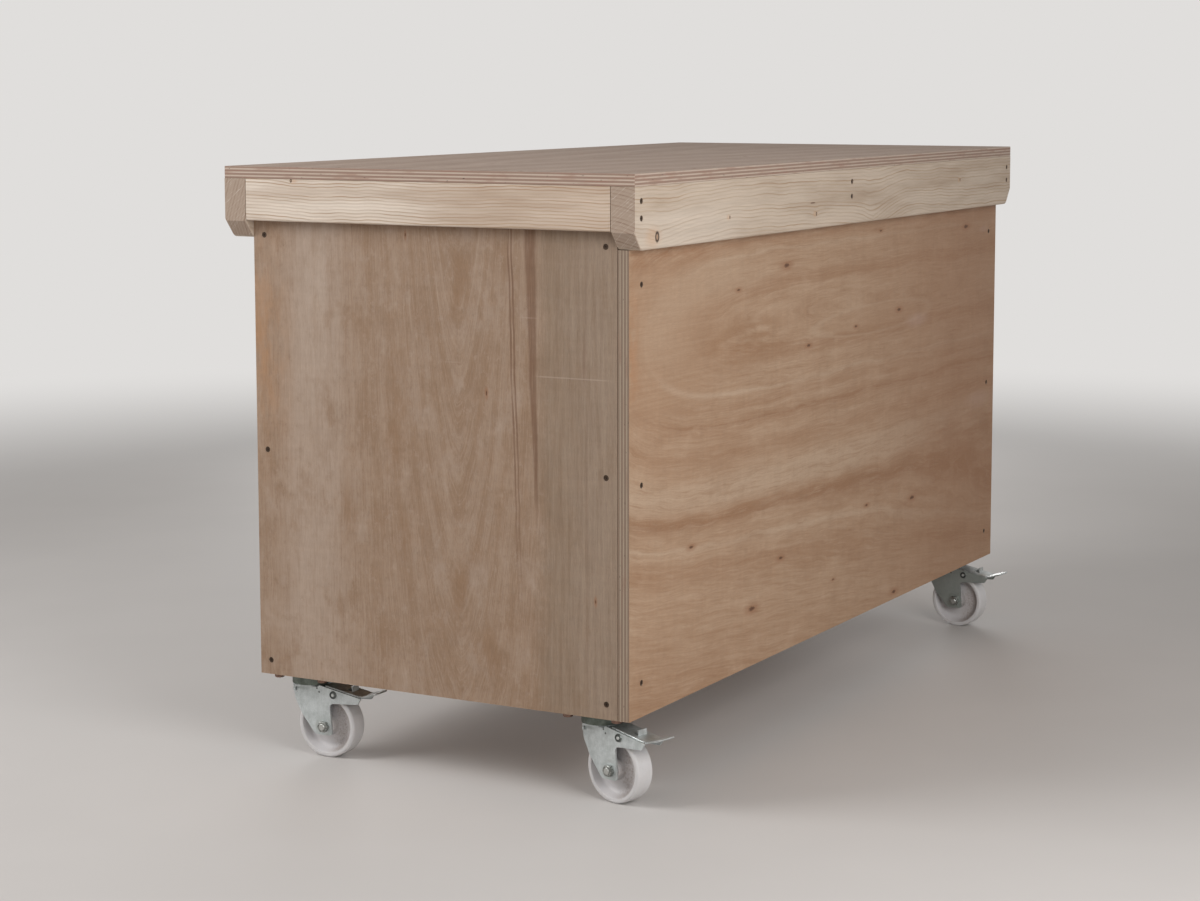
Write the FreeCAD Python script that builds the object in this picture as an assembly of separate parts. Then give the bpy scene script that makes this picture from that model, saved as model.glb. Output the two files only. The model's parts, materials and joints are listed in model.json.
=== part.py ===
import FreeCAD, Part
import math
import os

from FreeCAD import Vector

# Assembly table on four braked swivel castors.
# Millimetres. X runs along the table, Y across it, Z up from the floor.
# The origin is on the floor, under the centre of the table top.
# "Front" is -Y, the closed long side; the rear long side is open.

# ---------------------------------------------------------------- driving sizes
# boards and timber
TABLE_LENGTH = 1500.0
TABLE_WIDTH = 700.0
TOP_THICKNESS = 18.0
PANEL_THICKNESS = 18.0
BOARD_THICKNESS = 18.0            # bottom board that carries the castors
TIMBER_THICKNESS = 38.0           # planed softwood, the same for rails and posts
LONG_RAIL_HEIGHT = 89.0
END_RAIL_HEIGHT = 63.0
CROSS_RAIL_HEIGHT = 63.0
POST_WIDTH = 63.0
FRONT_PANEL_HEIGHT = 670.0
TIMBER_ARRIS = 3.0                # rounded edges of planed timber
TOP_ARRIS = 1.0                   # sanded edges of the top board
JOINT_GAP = 1.0                   # open joint at each end of an end rail
PANEL_JOINT_GAP = 0.8             # open joint between an end panel and the front panel
RAIL_CUT_RISE = 25.0              # cut-off lower corners of the long rails
RAIL_CUT_RUN = 20.0
RAIL_CUT_ROUNDING = 12.0

# wood screws
SCREW_HEAD_RADIUS = 4.3
SCREW_HEAD_DEPTH = 3.2
SCREW_SHANK_RADIUS = 2.3
SCREW_TIP = 5.0
SCREW_SUNK = 1.0                  # how far a head lies under the surface
SCREW_CLEARANCE = 0.1
RECESS_LENGTH = 4.4               # cross recess in the head
RECESS_WIDTH = 1.1
RECESS_DEPTH = 1.6
CUT_OVERRUN = 1.0                 # how far a bore or cut runs past a face
PANEL_SCREW_LENGTH = 50.0
RAIL_SCREW_LENGTH = 90.0
TOP_SCREW_LENGTH = 60.0
BOARD_SCREW_LENGTH = 60.0
TOP_SCREWS_PER_RAIL = 4
PANEL_SCREW_INSET = 19.0          # from the outer side of the post
PANEL_SCREW_MARGIN = 50.0         # from the top and bottom edges of the front panel
END_PANEL_SCREW_MARGIN = 22.0
RAIL_SCREW_DROP = 20.0            # first screw of a pair, under the rail's top edge
RAIL_SCREW_PITCH = 24.0

# castors
CASTOR_INSET_X = 75.0             # kingpin to the end of the table
CASTOR_INSET_Y = 94.0
WHEEL_RADIUS = 50.0
WHEEL_HEADROOM = 7.0              # tread to the underside of the crown
WHEEL_WIDTH = 32.0
WHEEL_EDGE = 5.0
RIM_DEPTH = 7.0                   # radial depth of the rim
RIM_SLOPE = 9.0                   # level run from the rim down to the web
RIM_EDGE = 1.5
WEB_FILLET = 8.0
HUB_FILLET = 3.0
HUB_EDGE = 1.0
BORE_EDGE = 0.5
WEB_THICKNESS = 9.0
WEB_RISE = 2.0                    # of the web towards the hub
HUB_RADIUS = 14.0
HUB_WIDTH = 35.0
HUB_DRAFT = 1.5
TRAIL = 35.0                      # kingpin axis to axle, measured level
STEEL = 3.0                       # pressed steel of plate and fork
PLATE_LENGTH = 105.0
PLATE_WIDTH = 85.0
PLATE_CORNER = 7.0
PLATE_HOLE_SPACING_LONG = 80.0
PLATE_HOLE_SPACING_SHORT = 60.0
PLATE_HOLE_RADIUS = 4.5
PLATE_SLOT_LENGTH = 13.0
HEAD_RADIUS = 30.5                # pressed head under the plate
HEAD_HEIGHT = 15.0
HEAD_ROUNDING = 2.0
CROWN_RADIUS = 29.5
CROWN_GAP = 3.0                   # under the head's rim
RACE_RADIUS = 21.5
BALL_RADIUS = 3.0
BALL_COUNT = 14
RACE_CLEARANCE = 0.1
RACE_DROP = 8.3                   # from the plate to the race's ceiling
DOME_RADIUS = 25.0
DOME_SLANT = 1.5
KINGPIN_RADIUS = 6.0
KINGPIN_HEAD_RADIUS = 10.0
KINGPIN_HEAD_HEIGHT = 4.5
KINGPIN_BEVEL = 1.0
RUNNING_CLEARANCE = 0.05
REST_CLEARANCE = 0.3
FORK_INNER_WIDTH = 37.0
AXLE_RADIUS = 5.0
AXLE_END = 1.8                    # bolt end past the nut
AXLE_END_BEVEL = 0.8
SLEEVE_WALL = 1.6
NUT_ACROSS_FLATS = 16.0
NUT_HEIGHT = 6.2
BOLT_HEAD_HEIGHT = 6.0
HEXAGON_FACE = 0.95               # round face on a nut, as a part of its flats
HEXAGON_BEVEL = 30.0              # degrees
LEG_BOSS_RADIUS = 10.0
LEG_BOSS_HEIGHT = 0.8
FORK_SKIRT = 7.0                  # front of the fork under the crown
FORK_BACK = 13.5                  # metal behind the axle
FORK_LOW = 14.0                   # metal under the axle
FORK_BACK_LEAN = 4.0
FORK_TOE = 16.0                   # level run of the lower edge in front of the axle
FORK_KNEE_SETBACK = 13.0          # knee and neck of the front edge
FORK_KNEE_RISE = 16.0
FORK_NECK_SETBACK = 0.5
FORK_NECK_DROP = 22.0
FORK_CHEEK = 3.5                  # legs' top corner, ahead of the crown's
FORK_BEND_AHEAD = 22.0            # upright bend line, in front of the axle
FORK_BEND = 5.2                   # degrees that the leg leans inwards in front of it
WING_LAP = 4.0                    # wings start this far inside the head's radius
WING_FOOT = 4.0
WING_RISE = 3.3                   # above the crown
WING_REACH = 49.5                 # past the brake pin
WING_FALL = 1.2                   # end of the top edge, under the brake pin
WING_END_RUN = 6.0
WING_END_DEPTH = 9.5
WING_ROOT_DEPTH = 13.0
FORK_KNEE_ROUNDING = 30.0
FORK_NECK_ROUNDING = 20.0
FORK_TOE_ROUNDING = 9.0
FORK_HEEL_ROUNDING = 5.0
FORK_THROAT_ROUNDING = 7.0
WING_END_ROUNDING = 3.0
WING_TOP_ROUNDING = 2.0
PRESSED_CORNER = 1.5              # small corners of the pressed parts
PLATE_SCREW_RADIUS = 4.0
PLATE_SCREW_LENGTH = 20.0
PLATE_SCREW_FLATS = 13.0
PLATE_SCREW_HEAD = 5.3
WASHER_RADIUS = 8.0
WASHER_THICKNESS = 1.6

# brake pedal
BRAKE_PIN_BEHIND = 16.5           # behind the axle
BRAKE_PIN_DROP = 9.5              # under the crown's top
BRAKE_PIN_RADIUS = 2.5
BRAKE_PIN_HEAD_RADIUS = 6.2
BRAKE_PIN_HEAD_HEIGHT = 2.0
BRAKE_PIN_RIM_HEIGHT = 1.6        # raised rim round a dished ring
BRAKE_PIN_RIM_WIDTH = 1.0
BRAKE_PIN_DISH_HEIGHT = 0.7
BRAKE_PIN_NUB_RADIUS = 2.2
BRAKE_PIN_SLANT = 0.5
PEDAL_TRAVEL = 11.0               # degrees, from released to pressed
PEDAL_THICKNESS = 2.5
PEDAL_FLANGE = 1.5
PEDAL_FLANGE_DEPTH = 4.5          # under the brake pin, and under the plate's inner end
PEDAL_FLANGE_REACH = 9.0          # lower edge, each side of the brake pin
PEDAL_FLANGE_STOP = 8.0           # before the bend
PEDAL_SIDE_GAP = 0.6
PEDAL_HEAD_ROOM = 5.0             # inner end to the head
PEDAL_BEND_SETBACK = 1.0          # from the wings' ends to where the foot pad turns up
PEDAL_PAD_LENGTH = 26.0
PEDAL_TIP_RISE = 7.5
PEDAL_TIP_LEAN = 0.6
PEDAL_TIP_CORNER = 6.0
PEDAL_TIP_EDGE = 1.0
PEDAL_BEND_RADIUS = 4.0
PEDAL_FLANGE_ROUNDING = 6.0
PEDAL_PROUD = 2.4                 # plate over the wings' top edge
PEDAL_SHOULDER = 2.0              # rounding of the plate's long edges
PEDAL_RELIEF = 2.2                # radius of the relief cuts beside the bend
TAB_WIDTH = 17.0
TAB_HEIGHT = 8.0
TAB_SETBACK = 26.5                # from the brake pin
TAB_THICKNESS = 2.0
TAB_LEAN = 1.4
WINDOW_END_ROOM = 1.5             # the window the tab is bent out of
WINDOW_SIDE_ROOM = 0.4
SHOE_SETBACK = 5.5                # from the brake pin
SHOE_LENGTH = 15.0
SHOE_WIDTH = 20.0
SHOE_DEPTH = 30.0                 # block under the brake pin, before its face is cut
SHOE_CLEARANCE = 0.7              # pressed shoe to the tread

# heading of each castor's pedal, degrees from +X, and its side of the table
CASTORS = {
    "front_left": (-1, -1, -104.0),
    "front_right": (1, -1, -94.0),
    "rear_left": (-1, 1, -88.0),
    "rear_right": (1, 1, -91.0),
}

# ---------------------------------------------------------------- derived places
half_length = TABLE_LENGTH / 2
half_width = TABLE_WIDTH / 2
crown_bottom = 2 * WHEEL_RADIUS + WHEEL_HEADROOM
crown_top = crown_bottom + STEEL
head_bottom = crown_top + CROWN_GAP
plate_bottom = head_bottom + HEAD_HEIGHT
castor_height = plate_bottom + STEEL
panel_bottom = castor_height
board_top = panel_bottom + BOARD_THICKNESS
rail_bottom = panel_bottom + FRONT_PANEL_HEIGHT
rail_top = rail_bottom + LONG_RAIL_HEIGHT
table_top = rail_top + TOP_THICKNESS
end_rail_bottom = rail_top - END_RAIL_HEIGHT
cross_rail_bottom = rail_top - CROSS_RAIL_HEIGHT
inner_x = half_length - TIMBER_THICKNESS      # inner faces of the end rails
inner_y = half_width - TIMBER_THICKNESS       # inner faces of the long rails
panel_x = inner_x + PANEL_THICKNESS           # outer faces of the end panels
panel_y = inner_y + PANEL_THICKNESS           # outer face of the front panel
castor_x = half_length - CASTOR_INSET_X
castor_y = half_width - CASTOR_INSET_Y

leg_inner = FORK_INNER_WIDTH / 2
leg_outer = leg_inner + STEEL
race_ceiling = plate_bottom - RACE_DROP
dome_top = race_ceiling - 2 * BALL_RADIUS - 2 * RACE_CLEARANCE
sleeve_radius = AXLE_RADIUS + SCREW_CLEARANCE + SLEEVE_WALL
axle_face = leg_outer + LEG_BOSS_HEIGHT       # where the bolt head and the nut bear
fork_front = -math.sqrt(CROWN_RADIUS**2 - leg_outer**2)
fork_back = TRAIL + FORK_BACK
fork_low = WHEEL_RADIUS - FORK_LOW

# side view of a castor: "along" is level from the kingpin, "up" is from the floor
pin_along = TRAIL + BRAKE_PIN_BEHIND
pin_up = crown_top - BRAKE_PIN_DROP
wing_start = HEAD_RADIUS - WING_LAP
wing_top = crown_top + WING_RISE
wing_end = pin_along + WING_REACH
wing_end_up = pin_up - WING_FALL
pedal_start = HEAD_RADIUS + PEDAL_HEAD_ROOM
pedal_bend = wing_end - PEDAL_BEND_SETBACK
pedal_tip = pedal_bend + PEDAL_PAD_LENGTH
tab_along = pin_along + TAB_SETBACK
shoe_start = pin_along + SHOE_SETBACK
shoe_end = shoe_start + SHOE_LENGTH


# ---------------------------------------------------------------- shape helpers
def block(x0, x1, y0, y1, z0, z1):
    return Part.makeBox(x1 - x0, y1 - y0, z1 - z0, Vector(x0, y0, z0))


def rod(radius, start, end):
    """Round bar from one point to another."""
    return Part.makeCylinder(radius, (end - start).Length, start, end - start)


def rounded_wire(corners, to_space):
    """Closed outline through corners (u, v, rounding radius).

    A rounding takes at most half of the shorter side beside it.
    """
    count = len(corners)
    turns = []
    for i, (u, v, radius) in enumerate(corners):
        here = Vector(u, v, 0)
        back = Vector(*corners[i - 1][:2], 0) - here
        ahead = Vector(*corners[(i + 1) % count][:2], 0) - here
        if radius == 0:
            turns.append((here, None, here))
            continue
        half_angle = back.getAngle(ahead) / 2
        reach = min(radius / math.tan(half_angle), 0.499 * back.Length, 0.499 * ahead.Length)
        radius = reach * math.tan(half_angle)
        back.normalize()
        ahead.normalize()
        centre = here + (back + ahead).normalize() * (radius / math.sin(half_angle))
        middle = centre + (here - centre).normalize() * radius
        turns.append((here + back * reach, middle, here + ahead * reach))
    edges = []
    for i, (start, middle, end) in enumerate(turns):
        if middle is not None:
            edges.append(Part.Arc(to_space(start), to_space(middle), to_space(end)).toShape())
        following = turns[(i + 1) % count][0]
        if (following - end).Length > 1e-6:
            edges.append(Part.makeLine(to_space(end), to_space(following)))
    return Part.Wire(edges)


def side_plate(corners, y0, y1):
    """Outline in the XZ plane, given thickness from y0 to y1."""
    wire = rounded_wire(corners, lambda p: Vector(p.x, y0, p.y))
    return Part.Face(wire).extrude(Vector(0, y1 - y0, 0))


def flat_plate(corners, z0, z1):
    """Outline in the XY plane, given thickness from z0 to z1."""
    wire = rounded_wire(corners, lambda p: Vector(p.x, p.y, z0))
    return Part.Face(wire).extrude(Vector(0, 0, z1 - z0))


def rectangle(x0, x1, y0, y1, radius=0.0):
    return [(x0, y0, radius), (x1, y0, radius), (x1, y1, radius), (x0, y1, radius)]


def turned(profile):
    """Solid turned about the Z axis from a half section (radius, height)."""
    points = [Vector(r, 0, z) for r, z in profile]
    face = Part.Face(Part.makePolygon(points + points[:1]))
    return face.revolve(Vector(0, 0, 0), Vector(0, 0, 1), 360)


def hexagon(across_flats, height):
    """Hexagonal prism on the XY plane, its top corners turned off."""
    corner = across_flats / math.sqrt(3)
    fall = math.tan(math.radians(HEXAGON_BEVEL))
    points = []
    for i in range(6):
        angle = math.radians(60 * i)
        points.append((corner * math.cos(angle), corner * math.sin(angle), 0))
    prism = flat_plate(points, 0, height)
    apex = height + fall * HEXAGON_FACE * across_flats / 2
    return prism.common(Part.makeCone(apex / fall, 0, apex))


def aimed(shape, point, direction):
    """Move a shape made along -Z from the origin to point along a direction."""
    copy = shape.copy()
    turn = FreeCAD.Rotation(Vector(0, 0, -1), direction)
    copy.Placement = FreeCAD.Placement(point, turn)
    return copy


def cross_bore(radius, along, up):
    """Cutter through both sides of a castor."""
    reach = axle_face + CUT_OVERRUN
    return rod(radius, Vector(along, -reach, up), Vector(along, reach, up))


def save(name, shapes):
    shape = shapes if isinstance(shapes, Part.Shape) else Part.makeCompound(shapes)
    shape.exportStep(f"parts/{name}.step")


# ---------------------------------------------------------------- wood screws
def wood_screw(length):
    """Countersunk screw hanging down from the surface at the origin, head sunk."""
    top = -SCREW_SUNK
    neck = top - SCREW_HEAD_DEPTH
    tip = top - length
    body = turned([
        (0, top),
        (SCREW_HEAD_RADIUS, top),
        (SCREW_SHANK_RADIUS, neck),
        (SCREW_SHANK_RADIUS, tip + SCREW_TIP),
        (0, tip),
    ])
    half = RECESS_LENGTH / 2
    thin = RECESS_WIDTH / 2
    floor = top - RECESS_DEPTH
    cross = block(-half, half, -thin, thin, floor, top)
    cross = cross.fuse(block(-thin, thin, -half, half, floor, top))
    return body.cut(cross)


def screw_hole(length):
    """What a sunk screw takes out of the wood, with a little room all round."""
    room = SCREW_CLEARANCE
    neck = -SCREW_SUNK - SCREW_HEAD_DEPTH
    return turned([
        (0, CUT_OVERRUN),
        (SCREW_HEAD_RADIUS + room, CUT_OVERRUN),
        (SCREW_HEAD_RADIUS + room, -SCREW_SUNK),
        (SCREW_SHANK_RADIUS + room, neck),
        (SCREW_SHANK_RADIUS + room, -SCREW_SUNK - length - room),
        (0, -SCREW_SUNK - length - room),
    ])


class ScrewGroup:
    """Screws of one length; each is a place on a surface and a direction inwards."""

    def __init__(self, length, places):
        screw = wood_screw(length)
        hole = screw_hole(length)
        self.screws = [aimed(screw, point, direction) for point, direction in places]
        self.holes = [aimed(hole, point, direction) for point, direction in places]

    def drill(self, shape):
        near = [hole for hole in self.holes if hole.BoundBox.intersect(shape.BoundBox)]
        return shape.cut(near) if near else shape


post_y = inner_y - TIMBER_THICKNESS / 2
screw_x = inner_x - PANEL_SCREW_INSET
screw_y = inner_y - PANEL_SCREW_INSET
rail_centre_y = half_width - TIMBER_THICKNESS / 2
rail_centre_x = half_length - TIMBER_THICKNESS / 2


def rail_screw_places():
    """Pairs through the long rails into the end rails and the cross rail."""
    places = []
    for side in (-1, 1):
        for x in (-rail_centre_x, 0, rail_centre_x):
            for row in (0, 1):
                z = rail_top - RAIL_SCREW_DROP - row * RAIL_SCREW_PITCH
                places.append((Vector(x, side * half_width, z), Vector(0, -side, 0)))
    return places


def front_panel_screw_places():
    places = []
    middle = (panel_bottom + rail_bottom) / 2
    heights = (panel_bottom + PANEL_SCREW_MARGIN, middle, rail_bottom - PANEL_SCREW_MARGIN)
    for end in (-1, 1):
        for z in heights:
            places.append((Vector(end * screw_x, -panel_y, z), Vector(0, 1, 0)))
    return places


def end_panel_screw_places():
    places = []
    middle = (panel_bottom + end_rail_bottom) / 2
    heights = (
        panel_bottom + END_PANEL_SCREW_MARGIN,
        middle,
        end_rail_bottom - END_PANEL_SCREW_MARGIN,
    )
    for end in (-1, 1):
        for side in (-1, 1):
            for z in heights:
                places.append((Vector(end * panel_x, side * screw_y, z), Vector(-end, 0, 0)))
    return places


def top_screw_places():
    """Down through the top board into the long rails and the cross rail."""
    places = []
    pitch = 2 * inner_x / TOP_SCREWS_PER_RAIL
    for side in (-1, 1):
        for i in range(TOP_SCREWS_PER_RAIL):
            x = (i + 0.5) * pitch - inner_x
            places.append((Vector(x, side * rail_centre_y, table_top), Vector(0, 0, -1)))
    for y in (-inner_y / 2, inner_y / 2):
        places.append((Vector(0, y, table_top), Vector(0, 0, -1)))
        for end in (-1, 1):
            places.append((Vector(end * rail_centre_x, y, table_top), Vector(0, 0, -1)))
    return places


def board_screw_places():
    """Up through the bottom board into the feet of the posts."""
    places = []
    for end in (-1, 1):
        for side in (-1, 1):
            x = inner_x - POST_WIDTH + PANEL_SCREW_INSET
            point = Vector(end * x, side * post_y, panel_bottom)
            places.append((point, Vector(0, 0, 1)))
    return places


rail_screws = ScrewGroup(RAIL_SCREW_LENGTH, rail_screw_places())
front_panel_screws = ScrewGroup(PANEL_SCREW_LENGTH, front_panel_screw_places())
end_panel_screws = ScrewGroup(PANEL_SCREW_LENGTH, end_panel_screw_places())
top_screws = ScrewGroup(TOP_SCREW_LENGTH, top_screw_places())
board_screws = ScrewGroup(BOARD_SCREW_LENGTH, board_screw_places())


# ---------------------------------------------------------------- boards and timber
def top_board():
    board = block(-half_length, half_length, -half_width, half_width, rail_top, table_top)
    board = board.makeFillet(TOP_ARRIS, board.Edges)
    return top_screws.drill(board)


def round_lower_edges(rail, across):
    """Round a rail's long lower edges; across names the box side that is the rail's thickness."""
    edges = []
    for edge in rail.Edges:
        box = edge.BoundBox
        if box.ZMax < rail_top - TIMBER_ARRIS and getattr(box, across) < TIMBER_ARRIS:
            edges.append(edge)
    return rail.makeFillet(TIMBER_ARRIS, edges)


def long_rail(side):
    """Rail under a long edge of the top, its lower corners cut off."""
    corners = [
        (-half_length, rail_top, 0),
        (half_length, rail_top, 0),
        (half_length, rail_bottom + RAIL_CUT_RISE, 0),
        (half_length - RAIL_CUT_RUN, rail_bottom, RAIL_CUT_ROUNDING),
        (-half_length + RAIL_CUT_RUN, rail_bottom, RAIL_CUT_ROUNDING),
        (-half_length, rail_bottom + RAIL_CUT_RISE, 0),
    ]
    near, far = sorted((side * inner_y, side * half_width))
    rail = round_lower_edges(side_plate(corners, near, far), "YLength")
    return top_screws.drill(rail_screws.drill(rail))


def end_rail(end):
    """Rail between the long rails, flush with the end of the top."""
    near, far = sorted((end * inner_x, end * half_length))
    reach = inner_y - JOINT_GAP
    rail = block(near, far, -reach, reach, end_rail_bottom, rail_top)
    rail = round_lower_edges(rail, "XLength")
    return top_screws.drill(rail_screws.drill(rail))


def cross_rail():
    half = TIMBER_THICKNESS / 2
    rail = block(-half, half, -inner_y, inner_y, cross_rail_bottom, rail_top)
    rail = round_lower_edges(rail, "XLength")
    return top_screws.drill(rail_screws.drill(rail))


def post(end, side):
    """Corner post from the bottom board to the top, its inner arris rounded."""
    outer_x, outer_y = end * inner_x, side * inner_y
    inside_x = end * (inner_x - POST_WIDTH)
    inside_y = side * (inner_y - TIMBER_THICKNESS)
    plan = [
        (outer_x, outer_y, 0),
        (inside_x, outer_y, 0),
        (inside_x, inside_y, TIMBER_ARRIS),
        (outer_x, inside_y, 0),
    ]
    timber = flat_plate(plan, board_top, rail_top)
    for group in (front_panel_screws, end_panel_screws, board_screws):
        timber = group.drill(timber)
    return timber


def front_panel():
    panel = block(-panel_x, panel_x, -panel_y, -inner_y, panel_bottom, rail_bottom)
    return front_panel_screws.drill(panel)


def end_panel(end):
    near, far = sorted((end * inner_x, end * panel_x))
    start = -inner_y + PANEL_JOINT_GAP
    panel = block(near, far, start, inner_y, panel_bottom, end_rail_bottom)
    return end_panel_screws.drill(panel)


def bottom_board():
    board = block(-inner_x, inner_x, -inner_y, inner_y, panel_bottom, board_top)
    board = board_screws.drill(board)
    for end, side, _ in CASTORS.values():
        for point in plate_hole_centres(end, side):
            start = Vector(point.x, point.y, panel_bottom)
            depth = PLATE_SCREW_LENGTH - STEEL - WASHER_THICKNESS + SCREW_CLEARANCE
            bore = rod(PLATE_SCREW_RADIUS + SCREW_CLEARANCE, start, start + Vector(0, 0, depth))
            board = board.cut(bore)
    return board


# ---------------------------------------------------------------- castors
def plate_hole_centres(end, side):
    centres = []
    for i in (-1, 1):
        for j in (-1, 1):
            x = end * castor_x + i * PLATE_HOLE_SPACING_SHORT / 2
            y = side * castor_y + j * PLATE_HOLE_SPACING_LONG / 2
            centres.append(Vector(x, y, 0))
    return centres


def castor_plate():
    """Mounting plate with its pressed head, which holds the upper ball race."""
    half_x = PLATE_WIDTH / 2
    half_y = PLATE_LENGTH / 2
    plate = flat_plate(
        rectangle(-half_x, half_x, -half_y, half_y, PLATE_CORNER), plate_bottom, castor_height
    )
    for x in (-PLATE_HOLE_SPACING_SHORT / 2, PLATE_HOLE_SPACING_SHORT / 2):
        for y in (-PLATE_HOLE_SPACING_LONG / 2, PLATE_HOLE_SPACING_LONG / 2):
            slot = rectangle(
                x - PLATE_HOLE_RADIUS,
                x + PLATE_HOLE_RADIUS,
                y - PLATE_SLOT_LENGTH / 2,
                y + PLATE_SLOT_LENGTH / 2,
                PLATE_HOLE_RADIUS,
            )
            plate = plate.cut(
                flat_plate(slot, plate_bottom - CUT_OVERRUN, castor_height + CUT_OVERRUN)
            )
    skirt_inside = HEAD_RADIUS - STEEL
    bore = KINGPIN_RADIUS + RUNNING_CLEARANCE
    head = turned([
        (bore, plate_bottom + STEEL / 2),
        (HEAD_RADIUS - HEAD_ROUNDING, plate_bottom + STEEL / 2),
        (HEAD_RADIUS, plate_bottom - HEAD_ROUNDING),
        (HEAD_RADIUS, head_bottom),
        (skirt_inside, head_bottom),
        (skirt_inside, race_ceiling),
        (bore, race_ceiling),
    ])
    plate = plate.fuse(head)
    hole = rod(bore, Vector(0, 0, head_bottom), Vector(0, 0, castor_height + CUT_OVERRUN))
    return plate.cut(hole).removeSplitter()


def kingpin():
    """Riveted pin: its head is under the fork's crown, its top is flush in the plate."""
    head_top = dome_top - STEEL - REST_CLEARANCE
    return turned([
        (0, head_top - KINGPIN_HEAD_HEIGHT),
        (KINGPIN_HEAD_RADIUS - KINGPIN_BEVEL, head_top - KINGPIN_HEAD_HEIGHT),
        (KINGPIN_HEAD_RADIUS, head_top - KINGPIN_HEAD_HEIGHT + KINGPIN_BEVEL),
        (KINGPIN_HEAD_RADIUS, head_top),
        (KINGPIN_RADIUS, head_top),
        (KINGPIN_RADIUS, castor_height),
        (0, castor_height),
    ])


def ball_race():
    balls = []
    height = dome_top + RACE_CLEARANCE + BALL_RADIUS
    for i in range(BALL_COUNT):
        angle = 2 * math.pi * i / BALL_COUNT
        centre = Vector(RACE_RADIUS * math.cos(angle), RACE_RADIUS * math.sin(angle), height)
        balls.append(Part.makeSphere(BALL_RADIUS, centre))
    return balls


def wing_line(along):
    """Height of the wings' top edge, which falls from the head to the wings' ends."""
    share = (along - wing_start) / (wing_end - wing_start)
    return wing_top + (wing_end_up - wing_top) * share


def fork_leg(side):
    """One leg with the wing that carries the brake pivot; its front part is bent inwards."""
    corners = [
        (fork_front - FORK_CHEEK, crown_top, PRESSED_CORNER),
        (wing_start - WING_FOOT, crown_top, PRESSED_CORNER),
        (wing_start, wing_top, WING_TOP_ROUNDING),
        (wing_end, wing_end_up, PRESSED_CORNER),
        (wing_end - WING_END_RUN, wing_end_up - WING_END_DEPTH, WING_END_ROUNDING),
        (fork_back - FORK_BACK_LEAN, wing_end_up - WING_ROOT_DEPTH, FORK_THROAT_ROUNDING),
        (fork_back, fork_low, FORK_HEEL_ROUNDING),
        (TRAIL - FORK_TOE, fork_low, FORK_TOE_ROUNDING),
        (fork_front + FORK_KNEE_SETBACK, WHEEL_RADIUS + FORK_KNEE_RISE, FORK_KNEE_ROUNDING),
        (fork_front + FORK_NECK_SETBACK, crown_top - FORK_NECK_DROP, FORK_NECK_ROUNDING),
    ]
    near, far = sorted((side * leg_inner, side * leg_outer))
    leg = side_plate(corners, near, far)
    bend = TRAIL - FORK_BEND_AHEAD
    front = block(fork_front - FORK_CHEEK - CUT_OVERRUN, bend, near, far, 0, wing_top)
    ahead = leg.common(front)
    ahead.rotate(Vector(bend, side * leg_outer, 0), Vector(0, 0, 1), side * FORK_BEND)
    return leg.cut(front).fuse(ahead)


def fork():
    """Pressed steel fork: domed crown, front skirt and two legs with wings."""
    bore = KINGPIN_RADIUS + RUNNING_CLEARANCE
    shape = turned([
        (bore, dome_top),
        (DOME_RADIUS - DOME_SLANT, dome_top),
        (DOME_RADIUS, crown_top),
        (CROWN_RADIUS, crown_top),
        (CROWN_RADIUS, crown_bottom),
        (DOME_RADIUS - STEEL, crown_bottom),
        (DOME_RADIUS - DOME_SLANT - STEEL, dome_top - STEEL),
        (bore, dome_top - STEEL),
    ])
    reach = CROWN_RADIUS + CUT_OVERRUN
    shape = shape.common(block(-reach, reach, -leg_outer, leg_outer, 0, dome_top))
    skirt_low = crown_bottom - FORK_SKIRT
    skirt = rod(CROWN_RADIUS, Vector(0, 0, skirt_low), Vector(0, 0, crown_bottom))
    skirt = skirt.cut(rod(CROWN_RADIUS - STEEL, Vector(0, 0, 0), Vector(0, 0, crown_top)))
    front = block(-CROWN_RADIUS, fork_front + STEEL, -leg_outer, leg_outer, skirt_low, crown_top)
    shape = shape.fuse(skirt.common(front))
    for side in (-1, 1):
        shape = shape.fuse(fork_leg(side))
        start = Vector(TRAIL, side * leg_inner, WHEEL_RADIUS)
        end = Vector(TRAIL, side * axle_face, WHEEL_RADIUS)
        shape = shape.fuse(rod(LEG_BOSS_RADIUS, start, end))
    shape = shape.cut(cross_bore(AXLE_RADIUS + SCREW_CLEARANCE, TRAIL, WHEEL_RADIUS))
    pin_bore = BRAKE_PIN_RADIUS + RUNNING_CLEARANCE
    shape = shape.cut(cross_bore(pin_bore, pin_along, pin_up))
    return shape.removeSplitter()


def axle_bolt():
    end = -(2 * axle_face + NUT_HEIGHT + AXLE_END)
    shank = turned([
        (0, 0),
        (AXLE_RADIUS, 0),
        (AXLE_RADIUS, end + AXLE_END_BEVEL),
        (AXLE_RADIUS - AXLE_END_BEVEL, end),
        (0, end),
    ])
    bolt = shank.fuse(hexagon(NUT_ACROSS_FLATS, BOLT_HEAD_HEIGHT))
    turn = FreeCAD.Rotation(Vector(0, 0, -1), Vector(0, -1, 0))
    bolt.Placement = FreeCAD.Placement(Vector(TRAIL, axle_face, WHEEL_RADIUS), turn)
    return bolt


def axle_nut():
    thread = rod(
        AXLE_RADIUS + SCREW_CLEARANCE,
        Vector(0, 0, -CUT_OVERRUN),
        Vector(0, 0, NUT_HEIGHT + CUT_OVERRUN),
    )
    nut = hexagon(NUT_ACROSS_FLATS, NUT_HEIGHT).cut(thread)
    turn = FreeCAD.Rotation(Vector(0, 0, 1), Vector(0, -1, 0))
    nut.Placement = FreeCAD.Placement(Vector(TRAIL, -axle_face, WHEEL_RADIUS), turn)
    return nut


def axle_sleeve():
    """Tube on the bolt, clamped between the legs; the wheel turns on it."""
    half = leg_inner - SCREW_CLEARANCE
    start = Vector(TRAIL, -half, WHEEL_RADIUS)
    end = Vector(TRAIL, half, WHEEL_RADIUS)
    return rod(sleeve_radius, start, end).cut(rod(AXLE_RADIUS + SCREW_CLEARANCE, start, end))


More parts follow.
